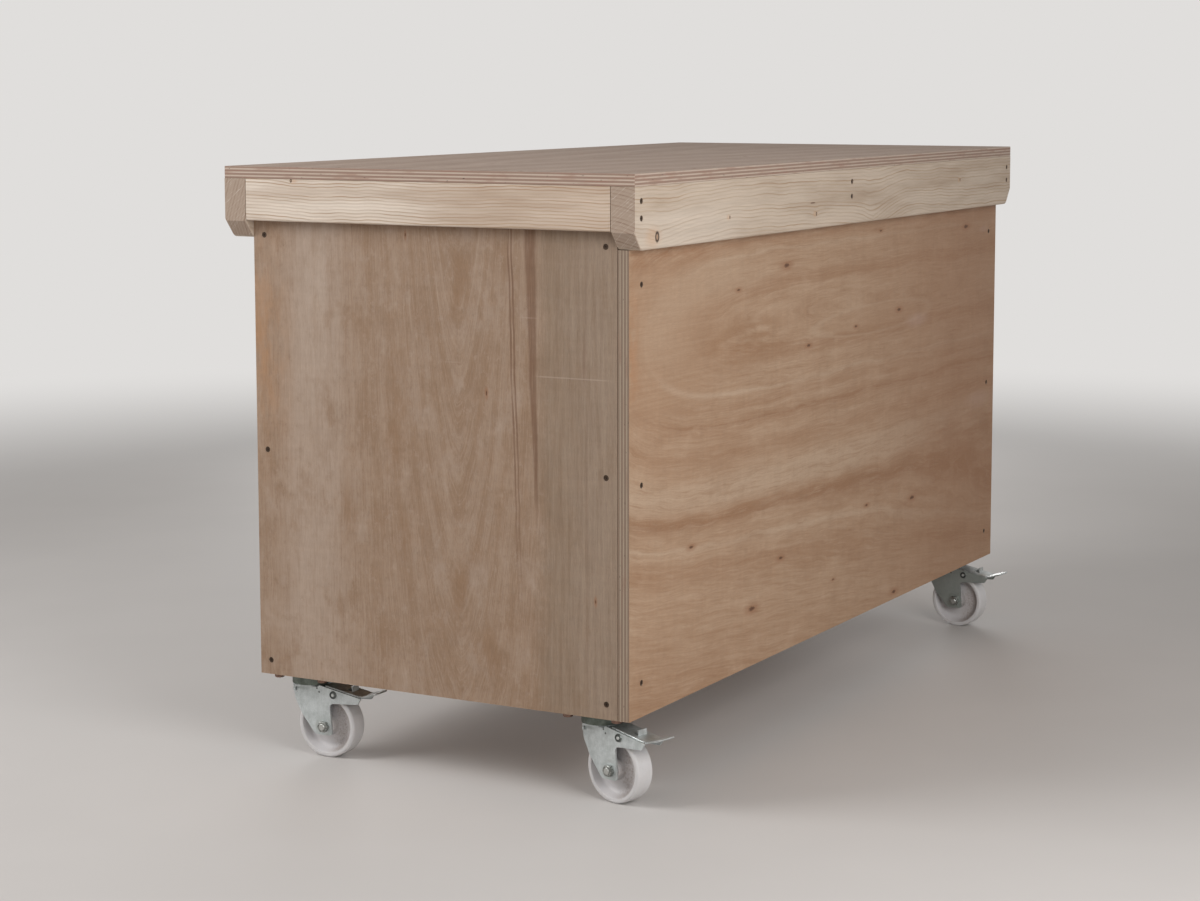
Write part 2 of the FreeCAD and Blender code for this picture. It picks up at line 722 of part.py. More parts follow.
def wheel():
    """Moulded wheel: round-edged tread, dished sides and a hub."""
    rim_inside = WHEEL_RADIUS - RIM_DEPTH
    web = WEB_THICKNESS / 2
    one_side = [
        (sleeve_radius + RUNNING_CLEARANCE, HUB_WIDTH / 2, BORE_EDGE),
        (HUB_RADIUS, HUB_WIDTH / 2, HUB_EDGE),
        (HUB_RADIUS + HUB_DRAFT, web + WEB_RISE, HUB_FILLET),
        (rim_inside - RIM_SLOPE, web, WEB_FILLET),
        (rim_inside, WHEEL_WIDTH / 2, RIM_EDGE),
        (WHEEL_RADIUS, WHEEL_WIDTH / 2, WHEEL_EDGE),
    ]
    other_side = [(radius, -across, rounding) for radius, across, rounding in reversed(one_side)]
    axle = Vector(TRAIL, 0, WHEEL_RADIUS)
    section = rounded_wire(one_side + other_side, lambda p: axle + Vector(p.x, p.y, 0))
    return Part.Face(section).revolve(axle, Vector(0, 1, 0), 360)


def pedal_line(along):
    """Height of the pedal plate's upper face."""
    return wing_line(along) + PEDAL_PROUD


def with_shoulders(channel):
    """The pedal's channel, its long upper edges rounded up to a relief cut at the bend."""
    half = leg_inner - PEDAL_SIDE_GAP
    first = pedal_start - CUT_OVERRUN
    last = pedal_bend - PEDAL_RELIEF
    top = pedal_line(first)
    section = rounded_wire([
        (-half, 0, 0),
        (half, 0, 0),
        (half, top, PEDAL_SHOULDER),
        (-half, top, PEDAL_SHOULDER),
    ], lambda p: Vector(first, p.x, p.y))
    rounded = Part.Face(section).extrude(Vector(last - first, 0, pedal_line(last) - top))
    pad_end = pedal_tip + PEDAL_TIP_LEAN + CUT_OVERRUN
    pad = block(last, pad_end, -half, half, 0, castor_height)
    shape = channel.common(rounded).fuse(channel.common(pad))
    for side in (-1, 1):
        corner = Vector(last, side * half, 0)
        shape = shape.cut(rod(PEDAL_RELIEF, corner, corner + Vector(0, 0, castor_height)))
    return shape


def brake_lever():
    """Pressed pedal: plate between the wings, side flanges, foot pad, tab and window."""
    half = leg_inner - PEDAL_SIDE_GAP
    start, bend = pedal_start, pedal_bend
    thick = PEDAL_THICKNESS
    tip_up = pedal_line(bend) + PEDAL_TIP_RISE
    tip_end = pedal_tip + PEDAL_TIP_LEAN
    plate = side_plate([
        (start, pedal_line(start), 0),
        (bend, pedal_line(bend), PEDAL_BEND_RADIUS),
        (pedal_tip, tip_up, PEDAL_TIP_EDGE),
        (tip_end, tip_up - thick, PEDAL_TIP_EDGE),
        (bend + PEDAL_TIP_LEAN, pedal_line(bend) - thick, PEDAL_BEND_RADIUS + thick),
        (start, pedal_line(start) - thick, 0),
    ], -half, half)
    plan = [
        (start, -half, 0),
        (tip_end, -half, PEDAL_TIP_CORNER),
        (tip_end, half, PEDAL_TIP_CORNER),
        (start, half, 0),
    ]
    plate = plate.common(flat_plate(plan, 0, castor_height))
    flange_end = bend - PEDAL_FLANGE_STOP
    flange_low = pin_up - PEDAL_FLANGE_DEPTH
    flanges = side_plate([
        (start, pedal_line(start) - thick / 2, 0),
        (flange_end, pedal_line(flange_end) - thick / 2, 0),
        (pin_along + PEDAL_FLANGE_REACH, flange_low, PEDAL_FLANGE_ROUNDING),
        (pin_along - PEDAL_FLANGE_REACH, flange_low, PEDAL_FLANGE_ROUNDING),
        (start, pedal_line(start) - PEDAL_FLANGE_DEPTH, 0),
    ], -half, half)
    between = half - PEDAL_FLANGE
    flanges = flanges.cut(block(0, tip_end, -between, between, 0, castor_height))
    shape = with_shoulders(plate.fuse(flanges))
    window_start = tab_along - TAB_HEIGHT - WINDOW_END_ROOM
    window_half = TAB_WIDTH / 2 + WINDOW_SIDE_ROOM
    shape = shape.cut(block(window_start, tab_along, -window_half, window_half, 0, castor_height))
    foot = pedal_line(tab_along) - thick
    tab_top = foot + thick + TAB_HEIGHT
    tab = side_plate([
        (tab_along, foot, 0),
        (tab_along + TAB_THICKNESS, foot, 0),
        (tab_along + TAB_THICKNESS - TAB_LEAN, tab_top, 0),
        (tab_along - TAB_LEAN, tab_top, 0),
    ], -TAB_WIDTH / 2, TAB_WIDTH / 2)
    shape = shape.fuse(tab)
    pin_bore = BRAKE_PIN_RADIUS + RUNNING_CLEARANCE
    return shape.cut(cross_bore(pin_bore, pin_along, pin_up)).removeSplitter()


def brake_shoe():
    """Block under the pedal plate; pressed, its flat face all but meets the tread."""
    under = pedal_line(shoe_start) - PEDAL_THICKNESS
    shoe = side_plate([
        (shoe_start, under, 0),
        (shoe_end, pedal_line(shoe_end) - PEDAL_THICKNESS, 0),
        (shoe_end, pin_up - SHOE_DEPTH, 0),
        (shoe_start, pin_up - SHOE_DEPTH, 0),
    ], -SHOE_WIDTH / 2, SHOE_WIDTH / 2)
    pivot = Vector(pin_along, 0, pin_up)
    axle = Vector(TRAIL, 0, WHEEL_RADIUS)
    across = Vector(0, 1, 0)
    middle = Vector((shoe_start + shoe_end) / 2, 0, under) - pivot
    pressed = FreeCAD.Rotation(across, PEDAL_TRAVEL).multVec(middle) + pivot
    slope = math.degrees(math.atan2(pressed.x - axle.x, pressed.z - axle.z))
    reach = WHEEL_RADIUS + SHOE_CLEARANCE
    cutter = block(-reach, reach, -SHOE_WIDTH, SHOE_WIDTH, -reach, reach)
    cutter.translate(axle)
    cutter.rotate(axle, across, slope)
    cutter.rotate(pivot, across, -PEDAL_TRAVEL)
    return shoe.cut(cutter)


def brake_pin():
    """Riveted pin through both wings and the pedal's flanges; its heads are dished."""
    rim = leg_outer + BRAKE_PIN_RIM_HEIGHT
    dish = leg_outer + BRAKE_PIN_DISH_HEIGHT
    end = leg_outer + BRAKE_PIN_HEAD_HEIGHT
    head = BRAKE_PIN_HEAD_RADIUS
    rim_inside = head - BRAKE_PIN_SLANT - BRAKE_PIN_RIM_WIDTH
    one_end = [
        (0, end),
        (BRAKE_PIN_NUB_RADIUS, end),
        (BRAKE_PIN_NUB_RADIUS + BRAKE_PIN_SLANT, dish),
        (rim_inside - BRAKE_PIN_SLANT, dish),
        (rim_inside, rim),
        (head - BRAKE_PIN_SLANT, rim),
        (head, leg_outer),
        (BRAKE_PIN_RADIUS, leg_outer),
    ]
    pin = turned(one_end + [(radius, -across) for radius, across in reversed(one_end)])
    turn = FreeCAD.Rotation(Vector(0, 0, 1), Vector(0, 1, 0))
    pin.Placement = FreeCAD.Placement(Vector(pin_along, 0, pin_up), turn)
    return pin


def plate_screw():
    """Hexagon-headed screw driven up through plate and board."""
    head_top = plate_bottom - WASHER_THICKNESS
    head = hexagon(PLATE_SCREW_FLATS, PLATE_SCREW_HEAD)
    head.Placement = FreeCAD.Placement(Vector(0, 0, head_top), FreeCAD.Rotation(Vector(1, 0, 0), 180))
    shank = rod(PLATE_SCREW_RADIUS, Vector(0, 0, head_top), Vector(0, 0, head_top + PLATE_SCREW_LENGTH))
    return head.fuse(shank).removeSplitter()


def plate_washer():
    low = Vector(0, 0, plate_bottom - WASHER_THICKNESS)
    high = Vector(0, 0, plate_bottom)
    ring = rod(WASHER_RADIUS, low, high)
    return ring.cut(rod(PLATE_SCREW_RADIUS + SCREW_CLEARANCE, low, high))


def placed(shape, end, side, heading):
    """Copy of a castor's piece at its corner, turned to its heading."""
    copy = shape.copy()
    place = FreeCAD.Placement(
        Vector(end * castor_x, side * castor_y, 0), FreeCAD.Rotation(Vector(0, 0, 1), heading)
    )
    copy.Placement = place.multiply(copy.Placement)
    return copy


# ---------------------------------------------------------------- writing the pieces
def save_woodwork():
    save("top_board", top_board())
    save("front_rail", long_rail(-1))
    save("rear_rail", long_rail(1))
    save("left_end_rail", end_rail(-1))
    save("right_end_rail", end_rail(1))
    save("cross_rail", cross_rail())
    for name, (end, side, _) in CASTORS.items():
        save(f"{name}_post", post(end, side))
    save("front_panel", front_panel())
    save("left_end_panel", end_panel(-1))
    save("right_end_panel", end_panel(1))
    save("bottom_board", bottom_board())
    save("rail_screws", rail_screws.screws)
    save("front_panel_screws", front_panel_screws.screws)
    save("end_panel_screws", end_panel_screws.screws)
    save("top_screws", top_screws.screws)
    save("board_screws", board_screws.screws)


def save_castors():
    turning = {
        "fork": fork(),
        "wheel": wheel(),
        "axle_bolt": axle_bolt(),
        "axle_nut": axle_nut(),
        "axle_sleeve": axle_sleeve(),
        "brake_lever": brake_lever(),
        "brake_shoe": brake_shoe(),
        "brake_pin": brake_pin(),
    }
    plate = castor_plate()
    pin = kingpin()
    race = ball_race()
    screw = plate_screw()
    washer = plate_washer()
    kingpins = []
    balls = []
    screws = []
    washers = []
    for name, (end, side, heading) in CASTORS.items():
        save(f"{name}_castor_plate", placed(plate, end, side, 0))
        for piece, shape in turning.items():
            save(f"{name}_{piece}", placed(shape, end, side, heading))
        kingpins.append(placed(pin, end, side, 0))
        balls.extend(placed(ball, end, side, 0) for ball in race)
        for centre in plate_hole_centres(end, side):
            for shape, group in ((screw, screws), (washer, washers)):
                copy = shape.copy()
                copy.translate(centre)
                group.append(copy)
    save("castor_kingpins", kingpins)
    save("castor_ball_races", balls)
    save("castor_plate_screws", screws)
    save("castor_plate_washers", washers)


os.makedirs("parts", exist_ok=True)
save_woodwork()
save_castors()
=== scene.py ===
import json
import math
from functools import reduce

import bpy
from mathutils import Matrix, Vector


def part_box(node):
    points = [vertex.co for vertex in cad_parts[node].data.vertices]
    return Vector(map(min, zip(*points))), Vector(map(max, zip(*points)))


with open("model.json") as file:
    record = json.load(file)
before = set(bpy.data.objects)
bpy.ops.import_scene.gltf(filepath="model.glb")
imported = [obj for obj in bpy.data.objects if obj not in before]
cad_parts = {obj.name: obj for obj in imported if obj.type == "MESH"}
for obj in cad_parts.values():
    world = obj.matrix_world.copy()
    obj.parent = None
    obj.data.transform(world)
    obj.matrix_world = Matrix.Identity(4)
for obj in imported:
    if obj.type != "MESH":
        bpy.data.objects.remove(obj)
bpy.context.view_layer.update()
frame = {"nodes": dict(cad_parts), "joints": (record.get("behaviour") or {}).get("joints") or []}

nodes = frame["nodes"]


# ---------------------------------------------------------------- long rails
# Two lengths of planed spruce, 38 x 89 mm, under the long edges of the top. Pale, with
# thin brown growth lines and a few small knots; the lower corners are sawn off.
class Value:
    """A number or colour inside a finish. Arithmetic on a number adds its Math nodes."""

    def __init__(self, finish, socket):
        self.finish = finish
        self.socket = socket

    def also(self, output):
        """Another output of the same node."""
        return Value(self.finish, self.socket.node.outputs[output])

    def math(self, operation, *others):
        settings = {"operation": operation}
        return self.finish.add("Math", settings, dict(enumerate((self, *others))))

    def __add__(self, other):
        return self.math("ADD", other)

    __radd__ = __add__

    def __sub__(self, other):
        return self.math("SUBTRACT", other)

    def __rsub__(self, other):
        return self.math("MULTIPLY_ADD", -1.0, other)

    def __mul__(self, other):
        return self.math("MULTIPLY", other)

    __rmul__ = __mul__

    def __truediv__(self, other):
        return self.math("DIVIDE", other)

    def __pow__(self, other):
        return self.math("POWER", other)

    def __abs__(self):
        return self.math("ABSOLUTE")

    def clipped(self):
        """No less than 0 and no more than 1."""
        return self.finish.add("Clamp", {}, {"Value": self})

    def larger(self, other):
        return self.math("MAXIMUM", other)

    def smaller(self, other):
        return self.math("MINIMUM", other)

    def fraction(self):
        """What is left over a whole number."""
        return self.math("FRACT")

    def faded(self):
        """e to the power of minus this value."""
        return (self * -1).math("EXPONENT")

    def rise(self, low, high):
        """0 under low, 1 over high and a smooth rise between; low may be the higher one."""
        settings = {"interpolation_type": "SMOOTHSTEP"}
        sockets = {"Value": self, "From Min": low, "From Max": high}
        return self.finish.add("MapRange", settings, sockets)

    def bell(self, middle, width):
        """1 at the middle, falling to 0 a width away on both sides."""
        return abs(self - middle).rise(width, 0)


class Finish:
    """A finish of one piece or of several alike. Places are in millimetres, at rest."""

    def __init__(self, name):
        self.material = bpy.data.materials.new(name)
        self.material.use_nodes = True
        self.tree = self.material.node_tree
        self.tree.nodes.clear()
        place = self.add("TexCoord", output="Object")
        metres = self.add("SeparateXYZ", {}, {0: place})
        self.x = metres * 1000
        self.y = metres.also(1) * 1000
        self.z = metres.also(2) * 1000

    def add(self, kind, settings=None, sockets=None, output=0):
        """Add a node: its settings first, then the values or links of its sockets."""
        node = self.tree.nodes.new("ShaderNode" + kind)
        for name, value in (settings or {}).items():
            if name == "stops":
                elements = node.color_ramp.elements
                elements.remove(elements[1])
                elements[0].position, elements[0].color = value[0]
                for position, colour in value[1:]:
                    elements.new(position).color = colour
            else:
                setattr(node, name, value)
        for name, value in (sockets or {}).items():
            if isinstance(value, Value):
                self.tree.links.new(value.socket, node.inputs[name])
            else:
                node.inputs[name].default_value = value
        return None if output is None else Value(self, node.outputs[output])

    def noise(self, x, y, z, detail=2.0, roughness=0.5):
        """Soft noise about 0.5; each place is divided by the size of the marks that way."""
        vector = self.add("CombineXYZ", {}, {0: x, 1: y, 2: z})
        sockets = {"Vector": vector, "Scale": 1.0, "Detail": detail, "Roughness": roughness}
        return self.add("TexNoise", {}, sockets)

    def clouds(self, size, detail=3.0, roughness=0.5):
        """Soft noise about 0.5 with marks of one size every way."""
        return self.noise(self.x / size, self.y / size, self.z / size, detail, roughness)

    def lines(self, count, detail=2.0, roughness=0.5):
        """Noise about 0.5 that varies only with one value."""
        sockets = {"W": count, "Scale": 1.0, "Detail": detail, "Roughness": roughness}
        return self.add("TexNoise", {"noise_dimensions": "1D"}, sockets)

    def apart(self, x, y, centre_x, centre_y, stretch=1.0):
        """Distance from a centre; marks come out longer by the stretch along the first axis."""
        off_x = (x - centre_x) / stretch
        off_y = y - centre_y
        return (off_x * off_x + off_y * off_y) ** 0.5

    def faces(self, axis):
        """1 on the faces that look along an axis, either way, and 0 on the others."""
        normal = self.add("NewGeometry", output="True Normal")
        facing = self.add("SeparateXYZ", {}, {0: normal})
        return abs(facing.also("xyz".index(axis))).rise(0.5, 0.75)

    def mix(self, share, first, second):
        """The first colour, turned into the second one by a share."""
        sockets = {0: share, 6: first, 7: second}
        return self.add("Mix", {"data_type": "RGBA"}, sockets, output=2)

    def scaled(self, colour, share):
        """A colour made lighter or darker."""
        settings = {"operation": "SCALE"}
        return self.add("VectorMath", settings, {0: colour, 3: share})

    def coat(self, colour, roughness, height, depth, **shared):
        """Colour, roughness, and relief as a height in 0 to 1 and its depth in mm.

        What is the same all over goes by its socket's name, in small letters.
        """
        sockets = {"Height": height, "Distance": depth / 1000, "Strength": 1.0}
        bump = self.add("Bump", {}, sockets)
        sockets = {"Base Color": colour, "Roughness": roughness, "Normal": bump}
        for name, value in shared.items():
            sockets[name.replace("_", " ").title().replace("Ior", "IOR")] = value
        return self.add("BsdfPrincipled", {}, sockets)

    def done(self, surface):
        """Give the material its surface, ready for its pieces."""
        self.add("OutputMaterial", {}, {0: surface}, output=None)
        return self.material


def dress(names, material):
    """Give pieces of the frame their finish."""
    for name in names:
        nodes[name].data.materials.clear()
        nodes[name].data.materials.append(material)


def shade(red, green, blue):
    """A colour given in 0 to 255 as it is seen, turned into light."""
    light = []
    for part in (red, green, blue):
        part = part / 255
        light.append(part / 12.92 if part < 0.04045 else ((part + 0.055) / 1.055) ** 2.4)
    return (*light, 1.0)


def corners_of(name):
    """The lowest and the highest corner of a piece at rest, in millimetres."""
    return [1000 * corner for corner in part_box(name)]


CLEAN_SPRUCE = shade(208, 196, 183)
TORN_SPRUCE = shade(208, 196, 184)
SPLIT_BROWN = shade(96, 62, 42)
KNOT_STAIN = shade(196, 146, 100)
KNOT_EDGE = shade(168, 138, 112)
KNOT_RING = shade(54, 38, 30)
KNOT_HEART = shade(104, 74, 52)


def spruce(
    name, axes, pith, pitch, tones, seed,
    knots=(), splits=(), bends=(), painted_shade=None, paler=None, faintest=0.12,
):
    """Sawn timber as a solid: growth rings round a pith line that runs along the first axis.

    The tones are the face and its late wood, then the sawn end and its late wood. A knot is a
    place on the wide face and a radius; a split is a place and half its length. A bend is a
    place where the lines swing round a knot under the face, with its reach and how far it
    lifts them. Painted shade, where it is given, turns the wood darker and more brown from its
    first place to its second, as the light falls off along it. The wood is pale round the
    place of paler, to its two reaches. Faintest is the weakest year's share of the strongest
    one's brown.
    """
    finish = Finish(name)
    along, across, through = (getattr(finish, axis) for axis in axes)
    sawn_end = finish.faces(axes[0])
    face, late, end, end_late = tones
    # growth rings, swung round the knots
    wander = 26 * finish.lines(along / 420 + seed) + 7 * finish.lines(along / 95 + seed)
    away = across - pith[0] + wander
    deep = through - pith[1]
    rings = (away * away + deep * deep) ** 0.5
    rings = rings + 2.4 * finish.noise(along / 60, across / 26, through / 26)
    for u, v, size in knots:
        near = finish.apart(along, across, u, v, stretch=1.7)
        rings = rings + 1.6 * size * (near / size * 0.35).faded()
    for u, v, reach, lift in bends:
        rings = rings + lift * (finish.apart(along, across, u, v, stretch=1.5) / reach).faded()
    # each year's brown line, stronger and weaker along the wood
    year = (rings / pitch).fraction()
    strength = finish.lines(rings / pitch * 0.45 + seed, detail=1.0).rise(0.34, 0.7)
    waning = finish.noise(along / 160, across / 9, through / 9, detail=2.0).rise(0.3, 0.62)
    line = year.rise(0.45, 0.9) * year.rise(1.0, 0.93)
    line = line * (faintest + (1 - faintest) * strength)
    line = line * (0.45 + 0.55 * waning)
    # fibres, slow clouds and short flecks
    fibre = finish.noise(along / 42, across / 0.8, through / 0.8, detail=4.0, roughness=0.65)
    cloud = finish.noise(along / 210, across / 26, through / 26, detail=3.0)
    fleck = finish.noise(along / 11, across / 0.55, through / 0.55, detail=1.0).rise(0.64, 0.78)
    speckle = finish.noise(along / 0.9, across / 0.6, through / 0.6, detail=1.0)
    colour = finish.mix(line * 0.95, face, late)
    colour = finish.mix((1.6 * (cloud - 0.43)).clipped(), colour, late)
    colour = finish.mix(fleck * 0.25, colour, late)
    # painted shade: darker and more brown along the wood, where the light falls off
    if painted_shade is not None:
        colour = finish.mix(along.rise(*painted_shade) * (0.25 + 0.5 * cloud), colour, late)
    if paler is not None:
        u, v, reach_along, reach_across = paler
        clean = along.bell(u, reach_along) * across.bell(v, reach_across)
        colour = finish.mix((clean * 2).clipped() * 0.32, colour, CLEAN_SPRUCE)
    colour = finish.scaled(colour, 0.91 + 0.5 * fibre - 0.3 * cloud)
    # the end as the saw left it
    cut = finish.mix((line * 1.1).clipped(), end, end_late)
    cut = finish.mix((1.6 * (speckle - 0.5)).clipped(), cut, end_late)
    slope = (across + through * 0.8) / 2.3 + 1.5 * finish.noise(across / 14, through / 14, 0.0)
    torn = finish.noise(across / 12, through / 12, 7.0, detail=3.0).rise(0.5, 0.66)
    saw = finish.lines(slope, detail=2.0).rise(0.55, 0.72) * (0.35 + 0.65 * torn)
    cut = finish.mix(saw * 0.6, cut, TORN_SPRUCE)
    colour = finish.mix(sawn_end, colour, cut)
    # knots and splits
    for u, v, size in knots:
        ragged = 0.3 * size * finish.noise(along / 4, across / 4, 0.0, detail=3.0)
        ring = finish.apart(along, across, u, v, stretch=0.8) + ragged
        stain = finish.apart(along, across, u - 1.6 * size, v, stretch=1.6)
        colour = finish.mix(stain.rise(size * 2.6, size * 0.6) * 0.3, colour, KNOT_STAIN)
        colour = finish.mix(ring.rise(size, size * 0.8) * 0.8, colour, KNOT_EDGE)
        colour = finish.mix(ring.bell(size * 0.88, size * 0.5), colour, KNOT_RING)
        colour = finish.mix(ring.rise(size * 0.5, 0.1) * 0.8, colour, KNOT_HEART)
    for u, v, half in splits:
        gap = along.bell(u, half) * across.bell(v, 1.6)
        colour = finish.mix(gap.rise(0.1, 0.5) * 0.85, colour, SPLIT_BROWN)
    height = 0.5 + 0.3 * line + 0.4 * fibre - 0.6 * sawn_end * speckle
    wood = finish.coat(colour, 0.62 + 0.1 * sawn_end, height, 0.14, specular_ior_level=0.3)
    return finish.done(wood)


RAIL_TONES = (
    shade(195, 179, 162), shade(163, 135, 108), shade(168, 149, 133), shade(138, 114, 97)
)
low, high = corners_of("front_rail")
rail_middle = (low.z + high.z) / 2
dress(("front_rail", "rear_rail"), spruce(
    "long_rail_spruce", "xzy", (rail_middle - 190, low.y + 70), 5.2, RAIL_TONES, 3.1,
    knots=((low.x + 66, high.z - 72, 8.0), (low.x + 297, high.z - 56, 2.4),
           (low.x + 609, high.z - 66, 3.0), (low.x + 1238, high.z - 35, 2.4)),
    splits=((low.x + 595, high.z - 48, 14),),
    bends=((low.x + 295, high.z - 60, 34, -9), (low.x + 840, low.z + 6, 60, 26),
           (low.x + 1040, low.z - 4, 50, -22)),
    paler=(low.x + 160, low.z + 22, 260, 46),
))


# ---------------------------------------------------------------- end and cross rails
# Shorter lengths of the same spruce, 38 x 63 mm, between the long rails; the lines
# stand closer and browner here. Two screws through each long rail hold each end.
END_TONES = (
    shade(215, 202, 188), shade(160, 127, 97), shade(168, 149, 130), shade(130, 107, 87)
)
low, high = corners_of("left_end_rail")
# painted shade darkens the end rails towards their front ends and turns them more brown
dress(("left_end_rail", "right_end_rail", "cross_rail"), spruce(
    "end_rail_spruce", "yzx", (low.z - 150, low.x + 60), 4.6, END_TONES, 11.7,
    knots=((high.y - 83, high.z - 2, 2.6),), painted_shade=(high.y - 161, low.y - 19),
    faintest=0.4,
))


# ---------------------------------------------------------------- corner posts
# Four upright lengths of spruce, 38 x 63 mm, inside the corners. The panels are screwed
# to them, and they carry the rails and the top down to the bottom board.
low, high = corners_of("front_left_post")
dress([name for name in nodes if name.endswith("_post")], spruce(
    "post_spruce", "zxy", (low.x + 152, low.y + 392), 5.6, RAIL_TONES, 21.3,
))


# ---------------------------------------------------------------- front panel
# One sheet of 18 mm plywood, seven plies, unvarnished, its face grain level, screwed on.
# The peeled face shows long loops that point left, broad bands and a few pin knots.
PLIES = 7
PALE_VENEER = shade(179, 153, 129)
TAN_VENEER = shade(170, 140, 114)
BROWN_VENEER = shade(160, 127, 100)
DARK_VENEER = shade(146, 110, 82)
PIN_HALO = shade(142, 98, 68)
PIN_HEART = shade(88, 56, 38)
HOLE_BROWN = shade(58, 42, 34)


def plywood(name, axes, sheet, veins, edge, figure, bands, marks=None, pins=()):
    """A plywood sheet: peeled face veneer by the bands of its figure, plies on its edges.

    The axes are along the face grain, across it and through the sheet; the sheet is its lower
    face and its thickness, and the veins are its dark and its pale one. The edge is its plies
    cut along the grain, those cut across it, the glue lines and a warm tint of some
    stretches. A band is a height of the figure, in mm, and the veneer there; a pin is a place
    and a size.
    """
    finish = Finish(name)
    along, across, through = (getattr(finish, axis) for axis in axes)
    face = finish.faces(axes[2])
    side = finish.faces(axes[1])
    lowest, thickness = sheet
    # growth lines, and the veneer of their band
    cloud = finish.noise(along / 170, across / 46, through / 9)
    curl = finish.noise(along / 60, across / 12, through / 9, detail=3.0)
    growth = figure(finish) + 15 * (cloud - 0.5) + 8 * (curl - 0.5)
    first, last = bands[0][0], bands[-1][0]
    stops = [((at - first) / (last - first), colour) for at, colour in bands]
    colour = finish.add("ValToRGB", {"stops": stops}, {0: (growth - first) / (last - first)})
    # dark and pale veins, fibres, pores and patches
    flame = finish.noise(along / 85, growth / 2.8, through / 9, detail=4.0, roughness=0.7)
    wisp = finish.noise(along / 240, growth / 10, through / 9 + 5.0, detail=3.0, roughness=0.6)
    fibre = finish.noise(along / 15, across / 1.1, through / 3, detail=4.0, roughness=0.72)
    pore = finish.noise(along / 6, across / 0.4, through / 3, detail=1.0).rise(0.6, 0.74)
    patch = finish.noise(along / 75, across / 38, through / 20 + 4.0, detail=4.0, roughness=0.6)
    ripple = finish.noise(along / 7, across / 60, through / 20 + 9.0, detail=2.0)
    dark_vein, pale_vein = veins
    streak = (2.7 * (0.5 - flame)).clipped() + (1.2 * (0.5 - wisp)).clipped()
    colour = finish.mix(streak.clipped(), colour, dark_vein)
    glint = (2.3 * (flame - 0.5)).clipped() + (1.0 * (wisp - 0.5)).clipped()
    colour = finish.mix(glint.clipped(), colour, pale_vein)
    colour = finish.mix(patch.rise(0.52, 0.7) * 0.25, colour, pale_vein)
    colour = finish.mix(patch.rise(0.46, 0.3) * 0.25, colour, dark_vein)
    if marks is not None:
        colour = marks(finish, colour)
    if pins:
        nearest = reduce(Value.smaller, [
            finish.apart(along, across, u, v, stretch=3.0) / size for u, v, size in pins
        ])
        nearest = nearest + 0.9 * (finish.noise(along / 7, across / 2.2, 0.0, detail=3.0) - 0.5)
        colour = finish.mix(nearest.rise(2.8, 0.4) * 0.6, colour, PIN_HALO)
        colour = finish.mix(nearest.rise(0.9, 0.35) * 0.9, colour, PIN_HEART)
    tone = 0.67 + 0.46 * fibre + 0.1 * patch + 0.12 * ripple - 0.1 * pore
    colour = finish.scaled(colour, tone)
    # the edge: plies cut along and across the grain in turn, glue lines and small holes
    layer = (through - lowest) / thickness * PLIES
    odd = (layer * 0.5).fraction().rise(0.499, 0.501)
    open_end = abs(odd - (1 - side))
    glue = abs((layer.fraction() - 0.5) * 2).rise(0.8, 0.97)
    run = along + across
    dots = finish.noise(run / 0.8, through / 0.4, 0.0, detail=1.0)
    drift = finish.noise(run / 60, layer.math("FLOOR") * 3.7, 0.0, detail=3.0)
    long_ply, end_ply, glue_line, warm_tint = edge
    plies = finish.mix(open_end, long_ply, end_ply)
    plies = finish.mix(drift.rise(0.5, 0.72) * 0.55, plies, warm_tint)
    plies = finish.mix(open_end * dots.rise(0.5, 0.7) * 0.4, plies, glue_line)
    plies = finish.mix(glue * 0.7, plies, glue_line)
    hole = finish.noise(run / 7, layer * 1.3, 2.0, detail=1.0).rise(0.74, 0.78)
    plies = finish.mix(hole * 0.9, plies, HOLE_BROWN)
    colour = finish.mix(face, plies, colour)
    height = face * (0.7 * fibre + 0.2 * flame - 0.6 * pore) - (1 - face) * (hole + 0.4 * glue)
    return finish.done(finish.coat(colour, 0.6, height, 0.12, specular_ior_level=0.3))


PANEL_EDGE = (
    shade(158, 141, 123), shade(134, 114, 98), shade(92, 74, 60), shade(144, 114, 96)
)
low, high = corners_of("front_panel")
loop_tip = low.x + 45
loop_up = high.z - 134
LOOP_HALF = 108.0                 # height of the loops, each side of their middle
LOOP_RUN = 125.0                  # length over which they close
MOST_SINK = 140.0                 # how far the lowest lines sink at the right


def front_figure(finish):
    """Level loops closed at the left; below them, lines that sink more and more rightwards."""
    above = finish.z - loop_up
    tip = ((finish.x - loop_tip) / LOOP_RUN).faded()
    loops = (above * above + LOOP_HALF ** 2 * tip + 200) ** 0.5
    sink = MOST_SINK * ((finish.x - low.x) / (high.x - low.x)).clipped() ** 1.2
    return loops - sink * finish.z.rise(loop_up - 225, loop_up - 470)


front_bands = (
    (0, TAN_VENEER),
    (44, TAN_VENEER),
    (49, BROWN_VENEER),
    (60, BROWN_VENEER),
    (78, TAN_VENEER),
    (102, TAN_VENEER),
    (107, PALE_VENEER),
    (112, TAN_VENEER),
    (130, BROWN_VENEER),
    (137, TAN_VENEER),
    (150, BROWN_VENEER),
    (153, DARK_VENEER),
    (157, BROWN_VENEER),
    (176, TAN_VENEER),
    (196, BROWN_VENEER),
    (220, TAN_VENEER),
    (238, PALE_VENEER),
    (262, PALE_VENEER),
    (276, BROWN_VENEER),
    (286, DARK_VENEER),
    (297, TAN_VENEER),
    (314, TAN_VENEER),
    (319, PALE_VENEER),
    (329, TAN_VENEER),
    (352, BROWN_VENEER),
    (378, TAN_VENEER),
    (430, TAN_VENEER),
    (540, BROWN_VENEER),
)
front_pins = [
    (low.x + u, low.z + v, size)
    for u, v, size in (
        (522, 615, 4.5), (349, 589, 2.4), (986, 508, 3.6), (608, 481, 3.2), (1304, 635, 4.6),
        (901, 649, 2.2), (193, 221, 3.0), (506, 152, 3.2), (401, 90, 5.0), (851, 185, 2.6),
        (1056, 168, 4.4), (712, 81, 2.0), (977, 13, 4.0), (798, 495, 2.4),
    )
]
LOOP_RIM = shade(186, 161, 138)
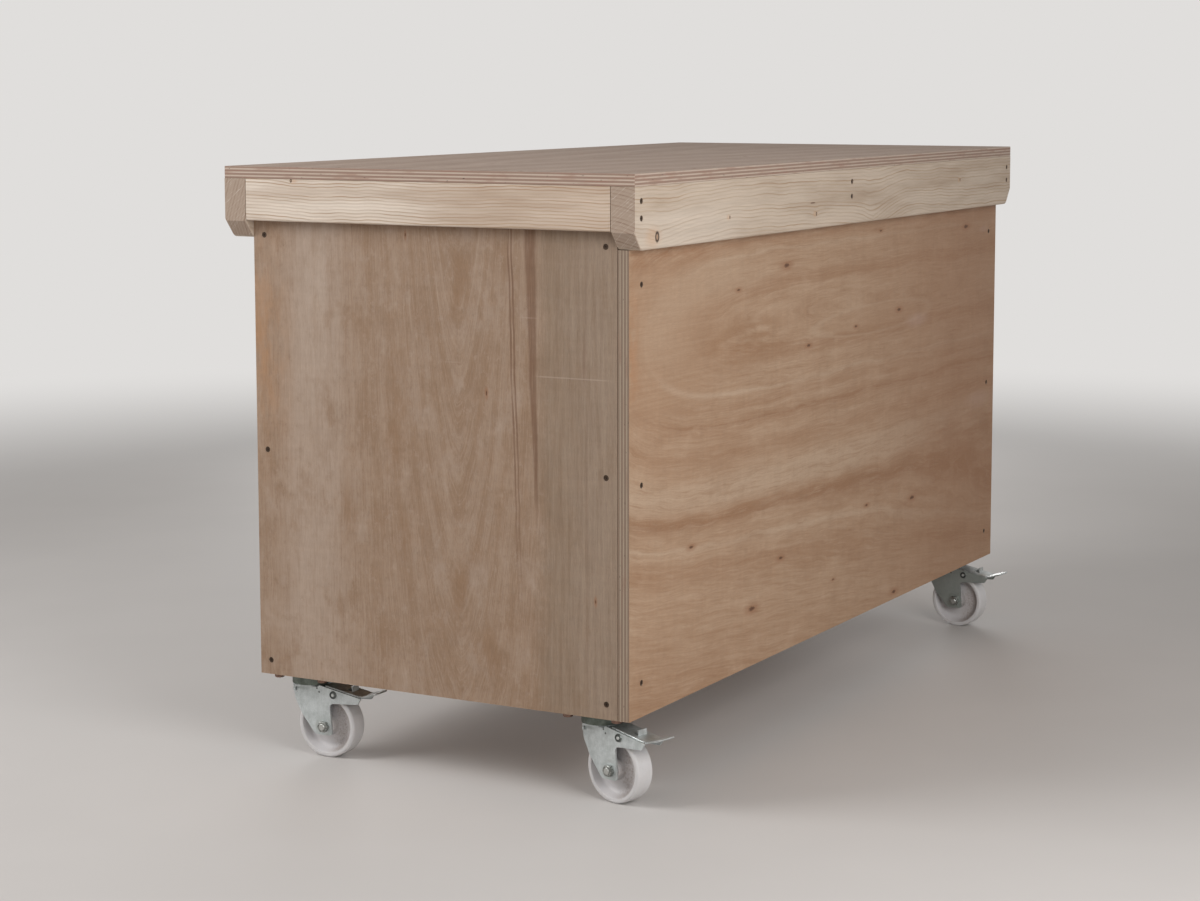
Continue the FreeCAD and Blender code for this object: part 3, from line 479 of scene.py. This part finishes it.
LOOP_BROWN = shade(150, 115, 86)
ISLAND_BROWN = shade(164, 132, 105)
RUBBED_PINK = shade(190, 166, 152)
LEFT_ORANGE = shade(172, 122, 84)
TOP_BROWN = shade(142, 98, 64)
RIGHT_BROWN_AND_SHADE = shade(146, 106, 78)
RUBBED_SPOTS = ((1070, 483, 18, 4), (1380, 309, 22, 6), (1398, 626, 9, 2))


def front_marks(finish, colour):
    """Soft ends of the loops, a pale arm over them, a small island, and stains at the edges.

    The marks' places, u and v, run right and up from the panel's lower left corner. A rubbed
    spot is a place, its reach and its core.
    """
    u = finish.x - low.x
    v = finish.z - low.z
    soft = finish.noise(finish.x / 90, finish.z / 14, 2.0, detail=4.0, roughness=0.6)
    level = finish.noise(finish.x / 130, finish.z / 4.5, 3.0, detail=4.0, roughness=0.65)
    plain = finish.mix(level.rise(0.34, 0.66), BROWN_VENEER, TAN_VENEER)
    # a calm stretch, and a pale arm round the loops' closed end
    calm = finish.apart(u, v, 90, 531, stretch=1.9).rise(152, 74)
    colour = finish.mix(calm * 0.78, colour, plain)
    loop = front_figure(finish)
    halo = loop.bell(92, 42) * v.rise(454, 559) * u.rise(550, 250)
    halo = halo + u.bell(280, 260) * v.bell(601, 44) * 0.5
    colour = finish.mix((halo * (0.4 + soft)).clipped() * 0.5, colour, PALE_VENEER)
    # the loops' pale rim and brown inside, and the island right of them
    rim = loop.bell(109, 6.5) * v.rise(529, 469) * u.rise(55, 130) * u.rise(490, 310)
    colour = finish.mix(rim * 0.4, colour, LOOP_RIM)
    inside = finish.apart(u, v, 380, 509, stretch=4.2).rise(56, 16)
    colour = finish.mix(inside * soft.rise(0.35, 0.6) * 0.7, colour, LOOP_BROWN)
    island = finish.apart(u, v, 880, 503, stretch=10.5) + 5 * (soft - 0.5)
    colour = finish.mix(island.rise(23, 17) * 0.35, colour, ISLAND_BROWN)
    colour = finish.mix(island.bell(24, 3.2) * 0.5, colour, PALE_VENEER)
    # rubbed spots, and a dark band that sinks to the right
    rubbed = sum(
        finish.apart(u, v, right, up, stretch=4.0).rise(reach, core)
        for right, up, reach, core in RUBBED_SPOTS
    )
    colour = finish.mix(rubbed.clipped() * 0.45, colour, RUBBED_PINK)
    band = (u.bell(810, 300) * v.bell(221, 30) * soft.rise(0.3, 0.6)) ** 0.8
    band = band + u.rise(950, 1290) * v.bell(254, 70) * soft.rise(0.25, 0.6)
    colour = finish.mix(band.clipped() * 0.6, colour, DARK_VENEER)
    # stains at the left and upper edges, and the right half darker and more brown: a brown
    # tint, with painted shade of the light falling off to the right
    stain = finish.noise(finish.x / 26, finish.z / 46, 0.0, detail=4.0, roughness=0.65)
    left = u.rise(50, 0) * v.bell(519, 150) * stain.rise(0.42, 0.6)
    colour = finish.mix(left * 0.45, colour, LEFT_ORANGE)
    top = finish.z.rise(high.z - 46, high.z) * u.rise(460, 60)
    colour = finish.mix(top * soft.rise(0.42, 0.62) * 0.6, colour, TOP_BROWN)
    # painted shade: the right half darker, with a brown tint
    return finish.mix(u.rise(670, 1350) * (0.35 + 0.3 * soft), colour, RIGHT_BROWN_AND_SHADE)


FRONT_VEINS = (shade(149, 114, 86), shade(184, 158, 134))
dress(["front_panel"], plywood(
    "front_panel_plywood", "xzy", (low.y, high.y - low.y), FRONT_VEINS, PANEL_EDGE,
    front_figure, front_bands, front_marks, front_pins,
))


# ---------------------------------------------------------------- end panels
# The same plywood with its grain upright, butted behind the front panel. Nested points
# run down its middle, and two dark mineral streaks hang from its top.
low, high = corners_of("left_end_panel")
PALE_GREY = shade(163, 142, 125)
LIGHT_GREY = shade(157, 134, 115)
MID_GREY = shade(153, 129, 109)
BROWN_GREY = shade(145, 119, 97)
POINTS_LINE = -50.0               # the points' middle line, from the table's
POINTS_HALF = 95.0                # how far they reach to each side
POINTS_STEEP = 0.37               # how fast they open upwards


def end_figure(finish):
    """Upright lines, with nested points near the middle."""
    from_line = finish.y - POINTS_LINE
    width = (from_line * from_line + 60) ** 0.5 - 7
    near = (width / POINTS_HALF) * (width / POINTS_HALF)
    return width - (finish.z - low.z) * POINTS_STEEP * near.faded()


end_bands = (
    (-260, BROWN_GREY),
    (-204, BROWN_GREY),
    (-199, LIGHT_GREY),
    (-195, MID_GREY),
    (-176, MID_GREY),
    (-171, LIGHT_GREY),
    (-167, BROWN_GREY),
    (-150, BROWN_GREY),
    (-144, MID_GREY),
    (-118, BROWN_GREY),
    (-84, MID_GREY),
    (-62, BROWN_GREY),
    (-36, MID_GREY),
    (-10, BROWN_GREY),
    (30, MID_GREY),
    (58, BROWN_GREY),
    (90, MID_GREY),
    (130, BROWN_GREY),
    (170, MID_GREY),
    (215, PALE_GREY),
    (280, PALE_GREY),
    (330, MID_GREY),
    (380, MID_GREY),
)
BLOT_PALE = shade(166, 146, 130)
BLOT_DARK = shade(137, 109, 85)
MOTTLE_PALE = shade(170, 150, 134)
MOTTLE_DARK = shade(132, 106, 84)
EDGE_GREYS_AND_SHADE = (shade(125, 106, 88), shade(141, 123, 105))
BLEACHED = shade(177, 159, 144)
ORANGE_STAIN = shade(168, 126, 90)
BROWN_STAIN = shade(136, 106, 80)
THIN_STREAK = shade(108, 76, 56)
WIDE_STREAK = shade(112, 82, 62)
FAINT_STREAK = shade(120, 94, 78)
SCRIBED = shade(188, 172, 158)
BROWN_SPOTS = (
    (60, 429, 130), (150, 264, 60), (50, 234, 34), (-50, 169, 70), (-80, 214, 30),
    (-52, 609, 80), (-100, 69, 60),
)


def end_marks(finish, colour):
    """Stained and greyer parts of the sheet, painted shade at its front edge, two mineral
    streaks and light scribed lines.

    The marks' places are from the table's middle line and up from the panel's foot, or down
    from its top. A brown spot is such a place and its height.
    """
    up = finish.z - low.z
    drop = high.z - finish.z
    soft = finish.noise(finish.y / 26, finish.z / 90, 2.0, detail=4.0, roughness=0.65)
    # blots and mottle all over
    blot = finish.noise(finish.y / 52, finish.z / 95, 8.0, detail=6.0, roughness=0.74)
    colour = finish.mix(blot.rise(0.5, 0.66) * 0.5, colour, BLOT_PALE)
    colour = finish.mix(blot.rise(0.5, 0.34) * 0.55, colour, BLOT_DARK)
    mottle = finish.noise(finish.y / 15, finish.z / 24, 5.0, detail=6.0, roughness=0.78)
    colour = finish.mix(mottle.rise(0.52, 0.68) * 0.4, colour, MOTTLE_PALE)
    colour = finish.mix(mottle.rise(0.48, 0.32) * 0.4, colour, MOTTLE_DARK)
    # the front edge greyer and darker: finely lined grey veneer, with painted shade of the
    # light falling off towards it; and the paler and orange far side
    streaks = finish.noise(finish.y / 7, finish.z / 130, 4.0, detail=5.0, roughness=0.65)
    greyed_and_shaded = finish.mix(streaks.rise(0.34, 0.66), *EDGE_GREYS_AND_SHADE)
    border = finish.y + 46 * (soft - 0.5) + 30 * (blot - 0.5)
    grey = border.rise(-168, -206) * (0.3 + 0.8 * (mottle - 0.1)).clipped()
    # painted shade: the front edge darker, over its greyer veneer
    colour = finish.mix(grey, colour, greyed_and_shaded)
    pale = finish.y.bell(195, 52) * up.rise(389, 569) + finish.y.bell(215, 60) * 0.4
    colour = finish.mix(pale.clipped() * soft.rise(0.25, 0.6) * 0.5, colour, BLEACHED)
    orange = finish.y.rise(230, 300) * up.bell(509, 260) * (soft + blot - 0.5).rise(0.3, 0.7)
    colour = finish.mix(orange * 0.65, colour, ORANGE_STAIN)
    # brown spots down the middle
    brown = reduce(Value.larger, [
        finish.apart(up, finish.y, height, y, stretch=tall / 22).rise(30, 4)
        for y, height, tall in BROWN_SPOTS
    ])
    colour = finish.mix(brown * soft.rise(0.62, 0.4) * 0.6, colour, BROWN_STAIN)
    # the two mineral streaks, and a faint one near the front edge
    wobble = 6 * (finish.lines(finish.z / 110) - 0.5)
    grain = finish.noise(finish.y / 1.6, finish.z / 70, 0.0, detail=3.0)
    thin = abs(abs(finish.y + 136 + drop * 0.03 + wobble) - 2.6)
    thin = thin.rise(2.2, 0.4) * drop.rise(620, 240) * grain.rise(0.25, 0.5)
    colour = finish.mix(thin * 0.7, colour, THIN_STREAK)
    wide = abs(finish.y + 170 + drop * 0.024 + wobble)
    wide = wide / (11 - drop * 0.021).larger(1.2)
    wide = wide.rise(1.15, 0.55) * drop.rise(450, 340) * grain.rise(0.2, 0.5)
    colour = finish.mix(wide * 0.75, colour, WIDE_STREAK)
    faint = finish.y.bell(-258, 4) * up.bell(509, 60) + finish.y.bell(-262, 3) * 0.3
    colour = finish.mix(faint * 0.5, colour, FAINT_STREAK)
    # scribed lines
    scribe = up.bell(486, 1.6) * finish.y.rise(-176, -190) * finish.y.rise(-310, -280)
    scribe = scribe + up.bell(569, 1.3) * finish.y.bell(-167, 24) * 0.8
    scribe = scribe + up.bell(499, 1.3) * finish.y.bell(-40, 22) * 0.6
    return finish.mix(scribe.clipped() * 0.3, colour, SCRIBED)


END_VEINS = (shade(138, 111, 88), shade(168, 147, 129))
end_pins = ((low.z + 457, -97, 1.7), (low.z + 681, 40, 1.4), (low.z + 169, -276, 1.5))
dress(("left_end_panel", "right_end_panel"), plywood(
    "end_panel_plywood", "zyx", (low.x, high.x - low.x), END_VEINS, PANEL_EDGE,
    end_figure, end_bands, end_marks, end_pins,
))


# ---------------------------------------------------------------- bottom board
# 18 mm plywood, the floor of the bay between the panels, with the posts screwed on its
# corners. The castor plates are screwed up into it.
low, high = corners_of("bottom_board")


def even_bands(first, last, width, tones):
    """Bands of one width, a few tones in turn."""
    return [(at, tones[i % len(tones)]) for i, at in enumerate(range(first, last, width))]


def board_figure(finish):
    """Wide bands along the board, slowly bent."""
    return finish.y + 60 * finish.noise(finish.x / 520, finish.y / 210, 3.0)


board_bands = even_bands(-320, 440, 48, (TAN_VENEER, BROWN_VENEER, PALE_VENEER))
dress(["bottom_board"], plywood(
    "bottom_board_plywood", "xyz", (low.z, high.z - low.z), FRONT_VEINS, PANEL_EDGE,
    board_figure, board_bands,
))


# ---------------------------------------------------------------- top board
# 18 mm plywood, flush with the rails all round, sanded tan, with sanding dust and a painted
# sheen greying it. Its end edge shows the plies as pinkish brown and pale lines; its long
# edge is paler and plainer.
low, high = corners_of("top_board")
TOP_LOOPS = 40.0                  # the loops' middle line, from the table's
TOP_ROUND = 30.0                  # how round their ends are
TOP_STEEP = 0.13                  # how fast they open to the right
TOP_DUST_AND_SHEEN = shade(159, 142, 130)
TOP_FAR_SHADE = shade(132, 106, 88)


def top_figure(finish):
    """Long loops that point left, off the middle, and straight lines at the sides."""
    from_loop = finish.y - TOP_LOOPS + 30 * finish.noise(finish.x / 700, 0.0, 0.0)
    from_loop = (from_loop * from_loop + TOP_ROUND ** 2) ** 0.5 - TOP_ROUND
    return from_loop - (finish.x - low.x) * TOP_STEEP


def top_marks(finish, colour):
    """Sanding dust and painted sheen grey the face; painted shade browns the right half slowly."""
    dust = finish.noise(finish.x / 140, finish.y / 60, 6.0, detail=3.0)
    # a grey over the whole face: sanding dust, and a painted sheen of light grazing the top
    colour = finish.mix(0.2 + 0.35 * dust, colour, TOP_DUST_AND_SHEEN)
    # painted shade: the right half slowly darker and more brown
    return finish.mix(finish.x.rise(0, 800) * (0.2 + 0.3 * dust), colour, TOP_FAR_SHADE)


TOP_VEINS = (shade(126, 99, 80), shade(180, 160, 145))
TOP_TONES = (shade(161, 136, 118), shade(175, 150, 132), shade(151, 124, 105))
TOP_EDGE = (
    shade(190, 171, 156), shade(152, 127, 112), shade(116, 91, 76), shade(152, 113, 96)
)
dress(["top_board"], plywood(
    "top_board_plywood", "xyz", (low.z, high.z - low.z), TOP_VEINS, TOP_EDGE,
    top_figure, even_bands(-230, 400, 30, TOP_TONES), top_marks,
))


# ---------------------------------------------------------------- wood screws
# Countersunk steel screws that hold rails, panels, top and bottom board. They are driven a
# little under the surface; their heads are dull, and their dark brown is painted shade of
# the holes that they sit in.
def worn_metal(name, size, colours, roughness, relief, metallic, detail=3.0, sharp=None):
    """Small metal parts with stains of one size, from the first colour to the second one.

    Sharp is the range of the noise in which the colour turns, where it doesn't turn evenly.
    """
    finish = Finish(name)
    stain = finish.clouds(size, detail)
    share = stain if sharp is None else stain.rise(*sharp)
    colour = finish.mix(share, *colours)
    skin = finish.coat(colour, roughness + 0.2 * stain, stain, relief, metallic=metallic)
    return finish.done(skin)


WOOD_SCREWS = (
    "rail_screws", "front_panel_screws", "end_panel_screws", "top_screws", "board_screws",
)
# dark brown: painted shade of the holes that the heads sit in
dress(WOOD_SCREWS, worn_metal(
    "wood_screw_steel", 1.5, (shade(92, 74, 60), shade(52, 40, 32)),
    roughness=0.45, relief=0.05, metallic=0.6, detail=2.0,
))


# ---------------------------------------------------------------- castor plates
# Pressed steel, zinc-plated: a plate with its head in one piece, screwed up to the bottom
# board. The skin is cloudy and duller than the fork's; its darker colour is painted shade,
# as the head sits in the panel's shadow.
CORNERS = ("front_left", "front_right", "rear_left", "rear_right")


def of_each_castor(piece):
    """The names of one piece in all four castors."""
    return [corner + piece for corner in CORNERS]


def zinc(finish, light, dark):
    """Zinc plating: its colour, its slow clouds and its fine spangles."""
    cloud = finish.clouds(13, detail=4.0, roughness=0.6)
    spangle = finish.clouds(1.7, roughness=0.7)
    colour = finish.mix(cloud.rise(0.3, 0.7), dark, light)
    colour = finish.scaled(colour, 0.8 + 0.4 * spangle)
    return colour, cloud, spangle


def dull_zinc(name, light, dark, roughness, relief):
    """The finish of a pressing that has zinc and nothing else on it."""
    finish = Finish(name)
    colour, cloud, spangle = zinc(finish, light, dark)
    skin = finish.coat(colour, roughness + 0.2 * cloud, spangle, relief, metallic=0.8)
    return finish.done(skin)


# darker zinc: painted shade of the panel's shadow over the heads
dress(of_each_castor("_castor_plate"), dull_zinc(
    "castor_plate_zinc", shade(120, 128, 120), shade(92, 98, 90), roughness=0.42, relief=0.03,
))


# ---------------------------------------------------------------- forks
# One pressing each: domed crown, two legs, and wings that carry the brake. Zinc-plated,
# satin, with two small punch marks on each leg, painted dark as shade in their hollows, and
# the painted shade of a soft dent line under the crown. The front right fork is duller and
# dirtier than the others, and darker by painted shade of the table over it.
class CastorFinish(Finish):
    """A finish in a castor's own directions: along its pedal, across it and up."""

    def __init__(self, name, corner):
        super().__init__(name)
        places = {joint["name"]: joint["pos_m"] for joint in frame["joints"]}
        pin = 1000 * Vector(places[corner + "_swivel_turn"])
        axle = 1000 * Vector(places[corner + "_wheel_spin"])
        trail = Vector((axle.x - pin.x, axle.y - pin.y))
        ahead = trail.normalized()
        self.along = (self.x - pin.x) * ahead.x + (self.y - pin.y) * ahead.y
        self.across = (self.y - pin.y) * ahead.x - (self.x - pin.x) * ahead.y
        self.from_axle = self.apart(self.along, self.z, trail.length, axle.z)
        pivot = 1000 * Vector(places[corner + "_pedal_press"])
        self.brake_pin = (math.hypot(pivot.x - pin.x, pivot.y - pin.y), pivot.z)


PUNCH_MARKS = ((22.2, 108.3), (26.2, 102.9))      # along from the kingpin, and up
DENT = (-9, 105.5)
DENT_SHADE_GREY = shade(134, 141, 136)
AXLE_GRIME = shade(128, 130, 118)
DULL_SHADED_ZINC = shade(104, 110, 98)
PUNCH_SHADE = shade(66, 66, 62)
for corner in CORNERS:
    finish = CastorFinish(corner + "_fork_zinc", corner)
    colour, cloud, spangle = zinc(finish, shade(204, 209, 209), shade(182, 188, 187))
    rolled = finish.noise(finish.along / 1.5, finish.across / 3, finish.z / 24, detail=2.0)
    colour = finish.scaled(colour, 0.92 + 0.16 * rolled)
    # painted shade of a soft pressed dent line under the crown
    dent_shade = finish.apart(finish.along, finish.z, *DENT, stretch=5.0).rise(4.2, 0.5)
    colour = finish.mix(dent_shade * 0.5, colour, DENT_SHADE_GREY)
    grime = finish.from_axle.bell(13.5, 5) * cloud.rise(0.4, 0.65)
    colour = finish.mix(grime * 0.35, colour, AXLE_GRIME)
    # the front right fork: duller zinc, and darker by painted shade of the table over it
    if corner == "front_right":
        colour = finish.mix(0.4 + 0.3 * cloud, colour, DULL_SHADED_ZINC)
    mark = reduce(Value.larger, [
        finish.apart(finish.along, finish.z, along, up).rise(1.9, 1.1)
        for along, up in PUNCH_MARKS
    ])
    # painted shade in the punch marks' hollows
    colour = finish.mix(mark * 0.85, colour, PUNCH_SHADE)
    height = 0.15 * spangle + 0.2 * rolled - mark
    skin = finish.coat(colour, 0.4 + 0.16 * cloud, height, 0.1, metallic=0.6)
    dress([corner + "_fork"], finish.done(skin))


# ---------------------------------------------------------------- brake pedals and shoes
# Pressed from thinner sheet, zinc-plated and smoother than the fork: the plate mirrors
# what is round it, and its foot pad is scuffed by shoes. The brake block hangs under it.
finish = Finish("brake_pedal_zinc")
colour, cloud, spangle = zinc(finish, shade(196, 200, 200), shade(168, 172, 170))
scuff = finish.noise(finish.x / 9, finish.y / 1.4, finish.z / 2, detail=4.0, roughness=0.7)
colour = finish.mix(scuff.rise(0.6, 0.72) * 0.4, colour, shade(120, 118, 112))
skin = finish.coat(colour, 0.26 + 0.16 * cloud + 0.1 * scuff, spangle, 0.02, metallic=0.72)
dress(of_each_castor("_brake_lever"), finish.done(skin))
dress(of_each_castor("_brake_shoe"), dull_zinc(
    "brake_shoe_zinc", shade(150, 152, 148), shade(112, 114, 110), roughness=0.4, relief=0.04,
))


# ---------------------------------------------------------------- axle bolts, nuts and brake pins
# Turned steel with bright zinc; bolts and pins go through the fork's legs. The bolt's end
# shines, the nut is stained, and each pin's dished head has a dark ring round its bright
# middle.
dress(of_each_castor("_axle_bolt"), worn_metal(
    "castor_bolt_zinc", 3, (shade(176, 178, 174), shade(208, 209, 206)),
    roughness=0.24, relief=0.02, metallic=1.0,
))
dress(of_each_castor("_axle_nut"), worn_metal(
    "castor_nut_zinc", 2, (shade(112, 114, 110), shade(168, 170, 166)),
    roughness=0.3, relief=0.03, metallic=0.95, sharp=(0.35, 0.65),
))
for corner in CORNERS:
    finish = CastorFinish(corner + "_brake_pin_zinc", corner)
    from_pin = finish.apart(finish.along, finish.z, *finish.brake_pin)
    cloud = finish.clouds(2)
    colour = finish.mix(cloud, shade(196, 200, 198), shade(214, 216, 214))
    # a dark ring round the pin head's bright middle
    colour = finish.mix(from_pin.rise(2.2, 3.4), colour, shade(86, 90, 88))
    colour = finish.mix(from_pin.rise(5.2, 5.9) * 0.6, colour, shade(150, 154, 150))
    skin = finish.coat(colour, 0.28 + 0.2 * cloud, cloud, 0.03, metallic=0.9)
    dress([corner + "_brake_pin"], finish.done(skin))


# ---------------------------------------------------------------- plate screws and washers
# Hexagon-headed steel screws and their washers, whose yellow-brown skin is a painted
# reflection of brown surroundings. They hold the castor plates to the bottom board, just
# under the panels' edge.
# the yellow-brown colour: painted reflection of brown surroundings
dress(("castor_plate_screws", "castor_plate_washers"), worn_metal(
    "plate_screw_zinc", 3, (shade(158, 126, 110), shade(116, 92, 80)),
    roughness=0.4, relief=0.03, metallic=0.7,
))


# ---------------------------------------------------------------- kingpins, balls and axle sleeves
# Plain ground steel, inside the castors: the kingpin and its ring of balls carry the fork,
# and the wheel runs on the axle sleeve.
dress(["castor_kingpins", "castor_ball_races"] + of_each_castor("_axle_sleeve"), worn_metal(
    "bearing_steel_plain", 4, (shade(120, 120, 120), shade(160, 160, 160)),
    roughness=0.25, relief=0.02, metallic=1.0,
))


# ---------------------------------------------------------------- wheels
# Moulded off-white nylon, a little translucent, each on its axle sleeve. The dished sides
# are greyer than the tread. Under the rim and in the dish on the trailing side they are
# darker and more brown: grime, with painted shade of the rim, the fork and the pedal above;
# a darker ring runs round the hub.
DISH_RADIUS = 43.0                # where the rim ends and the dished side starts
RIM_DIRT_AND_SHADE = shade(142, 132, 126)
HUB_GREY = shade(112, 110, 108)
HUB_RADIUS = 15.5
DISH_DIRT_AND_SHADE = shade(134, 116, 104)
for corner in CORNERS:
    finish = CastorFinish(corner + "_wheel_nylon", corner)
    cloud = finish.clouds(16)
    grime = finish.clouds(3, detail=4.0, roughness=0.7)
    scuff = finish.noise(finish.along / 2, finish.across / 8, finish.z / 2, detail=3.0)
    dish = finish.from_axle.rise(DISH_RADIUS + 1, DISH_RADIUS - 1)
    colour = finish.mix(cloud * 0.5, shade(209, 207, 207), shade(194, 190, 189))
    colour = finish.mix(dish * 0.75, colour, shade(196, 193, 194))
    # under the rim on the trailing side: grime, with painted shade of the rim's corner
    rim_dirt_and_shade = finish.from_axle.bell(DISH_RADIUS - 3, 5) * finish.along.rise(18, 52)
    colour = finish.mix(rim_dirt_and_shade * 0.35, colour, RIM_DIRT_AND_SHADE)
    # a darker grey ring round the hub
    colour = finish.mix(finish.from_axle.bell(HUB_RADIUS, 3) * 0.45, colour, HUB_GREY)
    # darker and more brown in the dish on the trailing side: grime, with painted shade of the fork
    # and the pedal above
    dish_dirt_and_shade = dish * (0.35 + 0.65 * grime.rise(0.45, 0.65)) * finish.along.rise(34, 58)
    colour = finish.mix(dish_dirt_and_shade * 0.65, colour, DISH_DIRT_AND_SHADE)
    colour = finish.mix(grime.rise(0.55, 0.75) * 0.2, colour, shade(150, 142, 136))
    nylon = finish.coat(
        colour, 0.36 + 0.2 * scuff, 0.5 * grime + 0.5 * scuff, 0.05,
        subsurface_weight=0.2, subsurface_scale=0.003, subsurface_radius=(1.0, 0.9, 0.8),
    )
    dress([corner + "_wheel"], finish.done(nylon))


# ---------------------------------------------------------------- studio
# A wide pale floor under the table, one large soft lamp behind the left end, weaker ones
# in front and, lower than the top, at the right, and an even pale surround that the floor
# fades into.
SURROUND = shade(224, 222, 220)
SURROUND_LIGHT = 0.46             # strength of the light that it gives the table
FLOOR_REACH = 40.0                # metres from the middle to each side
FADE_START = 2000.0               # millimetres from the middle
FADE_END = 5000.0


def seen(finish):
    """1 where the floor or the surround is looked at, mirrored or seen through glass."""
    path = finish.add("LightPath", output="Is Camera Ray")
    return path.larger(path.also("Is Glossy Ray")).larger(path.also("Is Transmission Ray"))


finish = Finish("studio_floor")
scuff = finish.noise(finish.x / 300, finish.y / 300, 0.0)
colour = finish.mix(scuff, shade(198, 194, 191), shade(204, 200, 197))
paint = finish.coat(colour, 0.75, scuff, 0.1, specular_ior_level=0.2)
glow = finish.add("Emission", {}, {"Color": SURROUND, "Strength": 1.0})
far = finish.apart(finish.x, finish.y, 0, 0).rise(FADE_START, FADE_END) * seen(finish)
faded = finish.add("MixShader", {}, {0: far, 1: paint, 2: glow})
SIDES = ((-1, -1), (1, -1), (1, 1), (-1, 1))
floor_mesh = bpy.data.meshes.new("studio_floor")
floor_mesh.from_pydata(
    [(x * FLOOR_REACH, y * FLOOR_REACH, 0) for x, y in SIDES], [], [(0, 1, 2, 3)],
)
floor_mesh.materials.append(finish.done(faded))
floor = bpy.data.objects.new("studio_floor", floor_mesh)
bpy.context.scene.collection.objects.link(floor)


def lamp(name, place, aim, width, height, watts, spread=180):
    """A large flat lamp that shows only by its light, which spreads by an angle."""
    light = bpy.data.lights.new(name, "AREA")
    light.shape = "RECTANGLE"
    light.size = width
    light.size_y = height
    light.energy = watts
    light.spread = math.radians(spread)
    piece = bpy.data.objects.new(name, light)
    piece.location = place
    piece.rotation_euler = (Vector(aim) - Vector(place)).to_track_quat("-Z", "Y").to_euler()
    piece.visible_camera = False
    bpy.context.scene.collection.objects.link(piece)


lamp(
    "left_lamp", place=(-2.3, 2.2, 2.1), aim=(-0.4, 0.0, 0.5),
    width=1.8, height=1.6, watts=65,
)
lamp(
    "front_lamp", place=(-1.5, -2.3, 1.3), aim=(-0.3, -0.3, 0.4),
    width=1.5, height=1.3, watts=37,
)
lamp(
    "right_lamp", place=(2.9, 1.7, 0.56), aim=(0.5, 0.1, 0.56),
    width=1.8, height=0.6, watts=12, spread=100,
)


class Surround(Finish):
    """The light and the plain colour all round, built as a finish is."""

    def __init__(self, name):
        self.world = bpy.data.worlds.new(name)
        self.world.use_nodes = True
        self.tree = self.world.node_tree
        self.tree.nodes.clear()


finish = Surround("studio_surround")
light = finish.add("Background", {}, {"Color": SURROUND, "Strength": SURROUND_LIGHT})
colour = finish.add("Background", {}, {"Color": SURROUND, "Strength": 1.0})
view = finish.add("MixShader", {}, {0: seen(finish), 1: light, 2: colour})
finish.add("OutputWorld", {}, {0: view}, output=None)
bpy.context.scene.world = finish.world
bpy.context.scene.view_settings.view_transform = "Standard"


# ---------------------------------------------------------------- camera
# It stands 3.8 m to the left and 2 m in front of the table's middle, a little above the
# top, and looks slightly down through a long lens, with its frame shifted down a little.
CAMERA_PLACE = (-3.8261, -1.9967, 1.0421)
CAMERA_YAW = 28.867               # from +X towards +Y
CAMERA_PITCH = -6.560
CAMERA_ROLL = -0.087
SENSOR_WIDTH = 36.0               # millimetres, as is the lens
LENS = 76.187
SHIFT_RIGHT = -0.00322            # shares of the frame's width
SHIFT_UP = -0.06912
camera = bpy.data.cameras.new("studio_camera")
camera.sensor_width = SENSOR_WIDTH
camera.lens = LENS
camera.shift_x = SHIFT_RIGHT
camera.shift_y = SHIFT_UP
camera.clip_end = 100.0
camera_stand = bpy.data.objects.new("studio_camera", camera)
turn = Matrix.Rotation(math.radians(CAMERA_YAW - 90), 4, "Z")
turn = turn @ Matrix.Rotation(math.radians(90 + CAMERA_PITCH), 4, "X")
turn = turn @ Matrix.Rotation(math.radians(CAMERA_ROLL), 4, "Z")
camera_stand.matrix_world = Matrix.Translation(CAMERA_PLACE) @ turn
bpy.context.scene.collection.objects.link(camera_stand)
bpy.context.scene.camera = camera_stand
